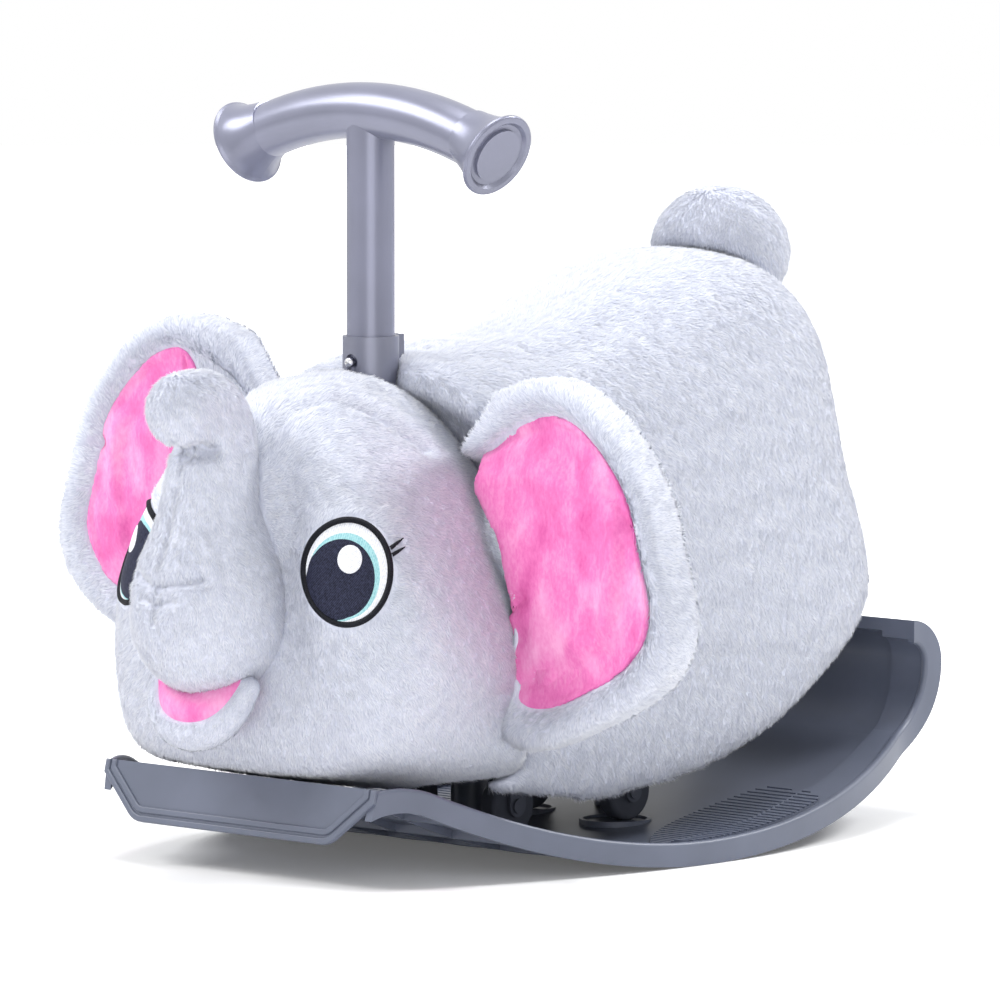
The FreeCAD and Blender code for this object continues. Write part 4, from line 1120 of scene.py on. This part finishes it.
    def build(self) -> bpy.types.Object:
        """Stitch the eye as one piece with a finish for each thread."""
        vertices, ways, faces, threads = [], [], [], []
        finishes = [BLACK_THREAD, WHITE_THREAD, AQUA_THREAD, NAVY_THREAD]
        layers = [(self.field_rows(field_), field_.thread, True) for field_ in EYE_FIELDS]
        layers += [(self.lash_rows(lash), BLACK_THREAD, False) for lash in EYE_LASHES]
        for rows, thread, closed in layers:
            start, wide = len(vertices), len(rows[0])
            for u, v, rise, way in (stitch for row in rows for stitch in row):
                vertices.append(self.place(u, v, rise))
                ways.append(way)
            for first in range(start, start + (len(rows) - 1) * wide, wide):
                for k in range(wide if closed else wide - 1):
                    n = (k + 1) % wide
                    faces.append([first + k, first + n, first + wide + n, first + wide + k])
                    threads.append(finishes.index(thread))
        mesh = bpy.data.meshes.new(f"eye_{self.side.word}_stitched")
        mesh.from_pydata(vertices, [], faces)
        mesh.attributes.new(STITCH_WAY, "FLOAT", "POINT").data.foreach_set("value", ways)
        for finish in finishes:
            mesh.materials.append(self.bench.finish(finish))
        mesh.polygons.foreach_set("material_index", threads)
        mesh.shade_smooth()
        eye = linked(mesh.name, mesh)
        out = self.axes()[1]
        for polygon in mesh.polygons:
            if polygon.normal.dot(out) < 0:
                polygon.flip()
        mesh.update()
        self.bench.stand_in(eye, "embroidered_felt", (f"eye_{self.side.word}",))
        return eye


@dataclass
class PlushBody:
    """Seat, high back, bolster and tail: one firm stuffed body under a plush cover."""

    bench: Bench
    voxel_mm: float = 6.0
    bulge_mm: float = 4.0
    corner_mm: float = 5.0
    parting_mm: float = 40.0
    fur_bottom_mm: float = 30.0

    def lie(self, places: np.ndarray, normals: np.ndarray) -> np.ndarray:
        """The way the cover's pile lies: back over the seat, and down the sides."""
        up = np.clip(normals[:, 2], 0, 1)
        side = 0.5 * np.tanh(places[:, 0] / (self.parting_mm * MM))
        return np.stack([side, 0.3 + 0.8 * up, 0.3 * up - 1.0], axis=1)

    def skins(self) -> list[bpy.types.Object]:
        """Build cover, bolster and tail without their pile."""
        bench = self.bench
        cover = soft_copy(bench, ("body_cover", "seat_core"), "body_cover_plush", self.voxel_mm, 7)
        stuff(cover, self.bulge_mm, pinned=lambda p: ramp(p[:, 2] / MM, 144, -60))
        self.square_back(cover)
        bolster = soft_copy(bench, ("back_bolster",), "back_bolster_plush", 4.0, 6)
        tail = soft_copy(bench, ("tail",), "tail_plush", 2.5, 3)
        bench.stand_in(cover, "grey_plush", ("body_cover", "seat_core"))
        bench.stand_in(bolster, "grey_plush", ("back_bolster",))
        bench.stand_in(tail, "grey_plush", ("tail",))
        return [cover, bolster, tail]

    def square_back(self, cover: bpy.types.Object) -> None:
        """Fill the cover's lower back corners, where the stuffing is packed hard."""
        places, normals = vertex_array(cover), normal_array(cover)
        y, z = (places[:, 1] - self.bench.post_y) / MM, places[:, 2] / MM
        fill = ramp(y, 255, 90) * ramp(z, 235, -90) * ramp(z, 100, 30)
        outward = normals * np.array([1, 1, 0])
        put_vertices(cover, places + outward * fill[:, None] * self.corner_mm * MM)

    def cover_in_pile(self, skins: list[bpy.types.Object], neighbours: list[BVHTree]) -> None:
        """Grow the pile of cover, bolster and tail.

        Args:
            skins: What skins returned.
            neighbours: Surfaces that the pile stays clear of.
        """
        cover, bolster, tail = skins
        low = self.fur_bottom_mm * MM
        trees = [surface_tree(skin) for skin in skins]
        for skin, seed, hand, flow, own in (
            (cover, 11, 1, self.lie, 0), (cover, 21, -1, self.lie, 0),
            (bolster, 31, 0, steady(0, 0.3, -1), 1), (tail, 41, 0, steady(0, 0, -1), 2),
        ):
            def keep(places: np.ndarray, hand: int = hand) -> np.ndarray:
                return (places[:, 2] > low) & ((places[:, 0] * hand >= 0) if hand else True)
            others = neighbours + [tree for number, tree in enumerate(trees) if number != own]
            name = f"{skin.name}_pile" + {1: "_left", -1: "_right", 0: ""}[hand]
            add_pile(self.bench, skin, name, Pile(seed, clear_of=others, keep=keep), flow)
        for skin in skins:
            self.bench.dress(skin, GREY_SKIN)


def add_pile(bench: Bench, skin: bpy.types.Object, name: str, pile: Pile, flow: Flow) -> None:
    """Grow a pile, dye it and let it ride with its skin."""
    grown = pile.grow(skin, name, flow)
    bench.dress(grown, GREY_PILE)
    bench.stand_in(grown, "grey_plush")


# Centre lines as X, Y, Z and radius, and a seam's path as X, Y, Z, in mm from the post and the floor
TRUNK_SPINE = (
    (0, -150, 173, 52.5), (0, -150, 200, 50), (0, -150, 222, 41.5), (0, -150, 243, 33.5),
    (0, -148, 263, 30.5), (0, -146, 281, 29), (0, -148, 297, 28), (0, -157, 308, 27.5),
    (0, -173, 310, 25.5),
)
LIP_SPINE = (
    (-44, -150, 131, 8), (-38, -158, 114, 9.5), (-21, -165, 101, 10.5), (0, -167, 97, 11),
    (19, -165, 101, 10.5), (32, -159, 113, 9.5), (37, -151, 129, 8),
)
MOUTH_SPINE = (
    (-35, -152, 127, 9), (-18, -159, 117, 14), (0, -161, 113, 15), (18, -159, 117, 14),
    (33, -151, 128, 9),
)
FOREHEAD_SEAM = (
    (18, -122, 280), (26, -94, 304), (38, -70, 316), (54, -58, 314), (68, -46, 300), (80, -30, 280),
)
# The trunk's folds, each as its height, its depth from the post, half its width and how deep it is
TRUNK_FOLDS = ((281, -178, 26, 8.0), (196, -199, 30, 6.0), (186, -202, 16, 4.5))


@dataclass
class PlushHead:
    """Head, trunk and lip with their pile, the mouth's lining and the two eyes."""

    bench: Bench
    voxel_mm: float = 5.0
    bulge_mm: float = 3.0
    dome_from_mm: float = 130.0
    dome_height_mm: float = 205.0
    dome_half_mm: float = 142.0
    dome_power: float = 1.65
    groove_shade_mm: float = 15.0
    cheek_mm: float = 13.0
    eyes: list[EmbroideredEye] = field(default_factory=list)

    def skins(self) -> list[bpy.types.Object]:
        """Build head, trunk, lip and mouth without their pile, and stitch the eyes."""
        bench, at = self.bench, self.bench.at
        head = soft_copy(bench, ("head",), "head_plush", self.voxel_mm, 14)
        stuff(head, self.bulge_mm, pinned=lambda p: ramp(p[:, 2] / MM, 130, -50))
        apply_modifier(head, "SUBSURF", levels=1, render_levels=1)
        self.dome(head)
        for hand in (1, -1):
            seam = [at(x * hand, y, z) for x, y, z in FOREHEAD_SEAM]
            tuck(head, seam, 4.2, 6.0)
            # The cloth swells a little behind its seam
            behind = Vector((-8 * hand * MM, 6 * MM, 8 * MM))
            tuck(head, [place + behind for place in seam], -2.0, 10.0)
        trunk = swept(bench, "trunk_plush", TRUNK_SPINE)
        even_out(trunk, 3.0, 4)
        tuck(trunk, [at(x, y - r, z) for x, y, z, r in TRUNK_SPINE[:-1]], 4.0, 2.6)
        for z, y, reach, depth in TRUNK_FOLDS:
            line = [at(reach * s, y + (reach * s) ** 2 / 60, z + reach * abs(s) / 5)
                    for s in (-1, -0.5, 0, 0.5, 1)]
            tuck(trunk, line, depth, 4.4)
        lip = swept(bench, "lower_lip_plush", LIP_SPINE, 24)
        even_out(lip, 2.2, 3)
        mouth = swept(bench, "mouth_minky", MOUTH_SPINE, 32)
        even_out(mouth, 2.2, 4)
        for skin, node in ((head, "head"), (trunk, "trunk"), (lip, "lower_lip")):
            bench.dress(skin, GREY_SKIN)
            bench.stand_in(skin, "grey_plush", (node,))
        bench.dress(mouth, PINK_MINKY)
        bench.stand_in(mouth, "pink_minky", ("mouth_lining",))
        tree = surface_tree(head)
        for side in Side:
            self.eyes.append(EmbroideredEye(bench, side, tree))
            self.eyes[-1].build()
        return [head, trunk, lip, mouth]

    def dome(self, head: bpy.types.Object) -> None:
        """Round the head's top off between the ears, hollow it beside the trunk and fill its cheeks."""
        places = vertex_array(head)
        x, y, z = places[:, 0] / MM, (places[:, 1] - self.bench.post_y) / MM, places[:, 2] / MM
        levels = np.arange(z.min(), z.max() + 4, 4)
        widths = np.array([np.abs(x[np.abs(z - level) < 4]).max() for level in levels])
        share = np.clip((levels - self.dome_from_mm) / self.dome_height_mm, 0, 0.995)
        wanted = self.dome_half_mm * (1 - share ** self.dome_power) ** (1 / self.dome_power)
        narrow = np.interp(z, levels, np.minimum(1, wanted / np.maximum(widths, 1)))
        # The valleys run down both sides of the trunk, and fade out before the chin and the crown
        groove_shade = np.exp(-((np.abs(x) - 54) / 34) ** 2) * ramp(y, -60, -60)
        groove_shade *= ramp(z, 95, 80) * ramp(z, 320, -90)
        # The cheeks swell behind the eyes, out and forwards alike
        cheek = np.exp(-((z - 190) / 60) ** 2 - ((y + 72) / 45) ** 2) * ramp(np.abs(x), 60, 40)
        cheek *= self.cheek_mm * 0.7
        places[:, 0] = places[:, 0] * narrow + cheek * np.sign(x) * MM
        places[:, 1] += (groove_shade * self.groove_shade_mm - cheek) * MM
        put_vertices(head, places)
        ease(head, 4)

    def cover_in_pile(self, skins: list[bpy.types.Object], neighbours: list[BVHTree]) -> None:
        """Grow the pile of head, trunk and lip.

        Args:
            skins: What skins returned.
            neighbours: Surfaces that the pile stays clear of.
        """
        head, trunk, lip, _ = skins
        trees = [surface_tree(skin) for skin in skins]
        fan = fanned(self.bench.at(0, -150, 215), 0.55)

        def face(places: np.ndarray, normals: np.ndarray) -> np.ndarray:
            return fan(places, normals) + sum(eye.spread(places) for eye in self.eyes)

        def open_face(places: np.ndarray) -> np.ndarray:
            return ~np.any([eye.inside(places) for eye in self.eyes], axis=0)

        for number, skin, seed, flow, keep, length in (
            (0, head, 51, face, open_face, 5.4), (1, trunk, 61, steady(0, 0.3, -1), None, 4.8),
            (2, lip, 71, steady(0, -0.3, -1), None, 3.6),
        ):
            others = neighbours + [tree for other, tree in enumerate(trees) if other != number]
            pile = Pile(seed, length_mm=length, clear_of=others, keep=keep)
            add_pile(self.bench, skin, f"{skin.name}_pile", pile, flow)


# Folds and soft ridges of a lining: a path as X and Z, its depth and how wide it fades, in mm
LINING_FOLDS = (
    (((118, 182), (134, 180), (154, 184)), 4.0, 4.0),
    (((252, 240), (248, 210), (240, 175)), 3.0, 5.0),
    (((236, 250), (234, 215), (226, 170)), -2.6, 7.0),
    (((222, 235), (221, 200), (214, 165)), 2.2, 6.0),
    (((124, 282), (140, 292), (162, 298)), 3.2, 5.0),
    (((150, 130), (190, 136), (226, 152)), 2.6, 6.0),
    (((130, 262), (160, 270), (196, 262)), -2.0, 10.0),
    (((140, 160), (160, 200), (172, 240)), 1.6, 10.0),
)


@dataclass
class PlushEar:
    """One ear: a thick rolled plush rim and back, with a minky lining let into its front."""

    bench: Bench
    side: Side
    roll_mm: float = 6.0
    border_mm: float = 26.0
    root_mm: float = 94.0
    tilt_mm: float = 3.0
    tilt_share: float = 0.085
    right_rise_mm: float = 26.0
    droop_from_mm: float = 124.0
    front_mm: float = -12.0
    bulge_mm: float = 5.0
    slack: float = 0.05

    def skins(self) -> list[bpy.types.Object]:
        """Build the ear and its lining without the pile."""
        bench, word = self.bench, self.side.word
        ear = soft_copy(bench, (f"ear_{word}",), f"ear_{word}_plush", 3.5, 8)
        lining = soft_copy(bench, (f"ear_lining_{word}",), f"ear_lining_{word}_minky", 2.5, 3)
        tree = surface_tree(lining)
        low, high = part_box(f"ear_lining_{word}")
        middle = (low[1] + high[1]) / 2

        def from_lining(places: np.ndarray) -> np.ndarray:
            flat = places.copy()
            flat[:, 1] = middle
            return np.array([tree.find_nearest(Vector(place))[3] for place in flat])

        places, normals = vertex_array(ear), normal_array(ear)
        # The border is stuffed into a roll, fullest nearer to the lining, and flat at the ear's root
        gap = ramp(from_lining(places), 5 * MM, self.border_mm * MM)
        facing = np.clip(-normals[:, 1], 0, 1) ** 0.5
        behind = np.clip(normals[:, 1], 0, 1) ** 0.5
        free = ramp(places[:, 0] * self.side.value / MM, 118, 30)
        roll = np.sin(math.pi * gap ** 0.7) * self.roll_mm * MM * free
        places[:, 1] += roll * (0.6 * behind - facing)
        put_vertices(ear, places)
        ease(ear, 3)
        self.pucker(lining)
        self.settle(ear, lining=False)
        self.settle(lining, lining=True)
        bench.dress(ear, GREY_SKIN)
        bench.stand_in(ear, "grey_plush", (f"ear_{word}",))
        bench.dress(lining, PINK_MINKY)
        bench.stand_in(lining, "pink_minky", (f"ear_lining_{word}",))
        return [ear, lining]

    def settle(self, piece: bpy.types.Object, lining: bool) -> None:
        """Let the ear hang flat, and carry its root in to the domed side of the head."""
        places = vertex_array(piece)
        hand = self.side.value
        x, z = places[:, 0] * hand / MM, places[:, 2] / MM
        tilt = self.tilt_mm + self.tilt_share * (x - self.root_mm)
        if self.side is Side.RIGHT:
            z = z - self.right_rise_mm
        # The root's edge, drawn in to the head; the right lining's top edge goes the other way
        if lining and self.side is Side.RIGHT:
            inward = ramp(x, 176, -70) * ramp(z, 205, 50) * -52
        elif lining:
            inward = ramp(x, 156, -40) * ramp(z, 298, -44) * ramp(z, 110, 60) * 38
        else:
            inward = ramp(x, 126, -32) * ramp(z, 318, -34) * ramp(z, 130, 60) * 26
        # The lowest corner, which hangs out, forward and down
        low = ramp(x, 176, -50) * ramp(z, 156, -40)
        out, down = (22, 12) if lining else (12, 5)
        ahead = 1.5 + 4 * low if lining else 0
        droop = 0 if lining else np.clip(self.droop_from_mm - x, 0, None) * ramp(z, 240, 50)
        shift = np.stack([-(inward + low * out) * hand, -tilt - ahead, -low * down - droop], axis=1)
        put_vertices(piece, places + shift * MM)

    def pucker(self, lining: bpy.types.Object) -> None:
        """Let the lining's spare cloth rise in soft folds between its sewn edges."""
        places = vertex_array(lining)
        low, high = places.min(axis=0), places.max(axis=0)
        back = high[1] - 0.35 * (high[1] - low[1])

        def sewn(points: np.ndarray) -> np.ndarray:
            return np.where(points[:, 1] > back, 1.0, 0.0)

        stuff(lining, self.bulge_mm, pressure=1.5, slack=self.slack, pinned=sewn)
        higher = self.right_rise_mm if self.side is Side.RIGHT else 0
        for path, depth, width in LINING_FOLDS:
            line = [self.bench.at(x * self.side.value, self.front_mm, z + higher) for x, z in path]
            tuck(lining, line, depth, width)

    def cover_in_pile(self, skins: list[bpy.types.Object], neighbours: list[BVHTree]) -> None:
        """Grow the ear's pile, clear of its lining.

        Args:
            skins: What skins returned.
            neighbours: Surfaces that the pile stays clear of.
        """
        ear, lining = skins
        word, hand = self.side.word, self.side.value
        centre = self.bench.at(190 * hand, -10, 215)
        pile = Pile(81 + hand, clear_of=neighbours + [surface_tree(lining)])
        add_pile(self.bench, ear, f"ear_{word}_pile", pile, fanned(centre, 0.15, 0.6))


@dataclass
class Studio:
    """Pale sweep, soft lamps and the camera at the photograph's angle."""

    bench: Bench
    azimuth_deg: float = 44.0
    elevation_deg: float = 5.2
    distance_mm: float = 6167.0
    lens_mm: float = 333.0
    target_mm: tuple[float, float, float] = (61.8, 59.8, 240.0)

    def build(self) -> None:
        """Set up floor, lamps, world and camera."""
        self.camera()
        self.floor()
        self.world()
        self.lamp("key", (-1500, -1500, 2000), 1300, 52)
        self.lamp("fill", (2300, -2300, 900), 2200, 36)
        self.lamp("rim", (1100, 1900, 1900), 900, 46)
        self.lamp("top", (0, 100, 2500), 1200, 30)
        bpy.context.scene.view_settings.view_transform = "Standard"

    def camera(self) -> None:
        """Place the camera on the line through the target."""
        a, e = math.radians(self.azimuth_deg), math.radians(self.elevation_deg)
        ahead = Vector((-math.sin(a) * math.cos(e), math.cos(a) * math.cos(e), -math.sin(e)))
        data = bpy.data.cameras.new("photo_camera")
        data.lens, data.sensor_width, data.clip_end = self.lens_mm, 36.0, 50.0
        eye = linked("photo_camera", data)
        eye.location = self.bench.at(*self.target_mm) - ahead * self.distance_mm * MM
        eye.rotation_euler = ahead.to_track_quat("-Z", "Y").to_euler()
        bpy.context.scene.camera = eye

    def floor(self) -> None:
        """Make the pale floor: white to the camera, with the object's shadow kept."""
        # A fifth of a millimetre down, so that it doesn't touch the runner
        bpy.ops.mesh.primitive_circle_add(vertices=96, radius=9.0, fill_type="NGON",
                                          location=(0, 0, -0.2 * MM))
        floor = bpy.context.object
        floor.name = "floor"
        material, tree, shader = new_material("white paper sweep")
        place = add_node(tree, "ShaderNodeTexCoord")
        away = add_node(tree, "ShaderNodeVectorMath", {"operation": "LENGTH"},
                        {0: place.outputs["Object"]})
        # White everywhere but around the object, where only its shadow is darker
        reach = add_node(tree, "ShaderNodeMapRange",
                         {"From Min": 0.5, "From Max": 1.6, "To Min": 0.1, "To Max": 1.2},
                         {"Value": away.outputs["Value"]})
        path = add_node(tree, "ShaderNodeLightPath")
        glow = add_node(tree, "ShaderNodeMath", {"operation": "MULTIPLY"},
                        {0: path.outputs["Is Camera Ray"], 1: reach.outputs[0]})
        feed(tree, shader, {
            "Base Color": linear("FFFFFF"),
            "Roughness": 0.9,
            "Specular IOR Level": 0.0,
            "Emission Color": linear("FFFFFF"),
            "Emission Strength": glow.outputs[0],
        })
        floor.data.materials.append(material)
        floor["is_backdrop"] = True

    def world(self) -> None:
        """Make the surround: white to the camera and to reflections, softer as light."""
        world = bpy.data.worlds.new("studio")
        bpy.context.scene.world = world
        world.use_nodes = True
        tree = world.node_tree
        tree.nodes.clear()
        path = add_node(tree, "ShaderNodeLightPath")
        seen = add_node(tree, "ShaderNodeMath", {"operation": "MAXIMUM"},
                        {0: path.outputs["Is Camera Ray"], 1: path.outputs["Is Glossy Ray"]})
        strength = add_node(tree, "ShaderNodeMapRange", {"To Min": 0.42, "To Max": 1.0},
                            {"Value": seen.outputs[0]})
        back = add_node(tree, "ShaderNodeBackground", {"Color": linear("FFFFFF")},
                        {"Strength": strength.outputs[0]})
        add_node(tree, "ShaderNodeOutputWorld", links={"Surface": back.outputs[0]})

    def lamp(self, name: str, place: tuple[float, float, float], size_mm: float,
             power: float) -> None:
        """Hang one soft square lamp that looks at the object's middle.

        Args:
            name: The lamp's name.
            place: Where it hangs, in millimetres from the post.
            size_mm: Its side.
            power: Its power in watts.
        """
        data = bpy.data.lights.new(name, "AREA")
        data.energy, data.size = power, size_mm * MM
        lamp = linked(name, data)
        lamp.location = self.bench.at(*place)
        towards = self.bench.at(0, 100, 200) - lamp.location
        lamp.rotation_euler = towards.to_track_quat("-Z", "Y").to_euler()


def main() -> None:
    """Build the whole scene, piece by piece."""
    logging.basicConfig(level=logging.INFO, format="%(message)s")
    bench = Bench()
    bench.write_size()
    bench.dress_cad()
    bench.free_spring()
    body, head = PlushBody(bench), PlushHead(bench)
    ears = [PlushEar(bench, side) for side in Side]
    parts = [body, head, *ears]
    skins = [part.skins() for part in parts]
    hard = [surface_tree(bench.frame["nodes"][node])
            for node in ("rocker_tray", "handle_socket", "handlebar")]
    main_trees = [surface_tree(group[0]) for group in skins]
    for number, (part, group) in enumerate(zip(parts, skins)):
        others = [tree for other, tree in enumerate(main_trees) if other != number]
        part.cover_in_pile(group, hard + others)
    Studio(bench).build()
    bench.write_size(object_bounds())


if __name__ == "__main__":
    main()
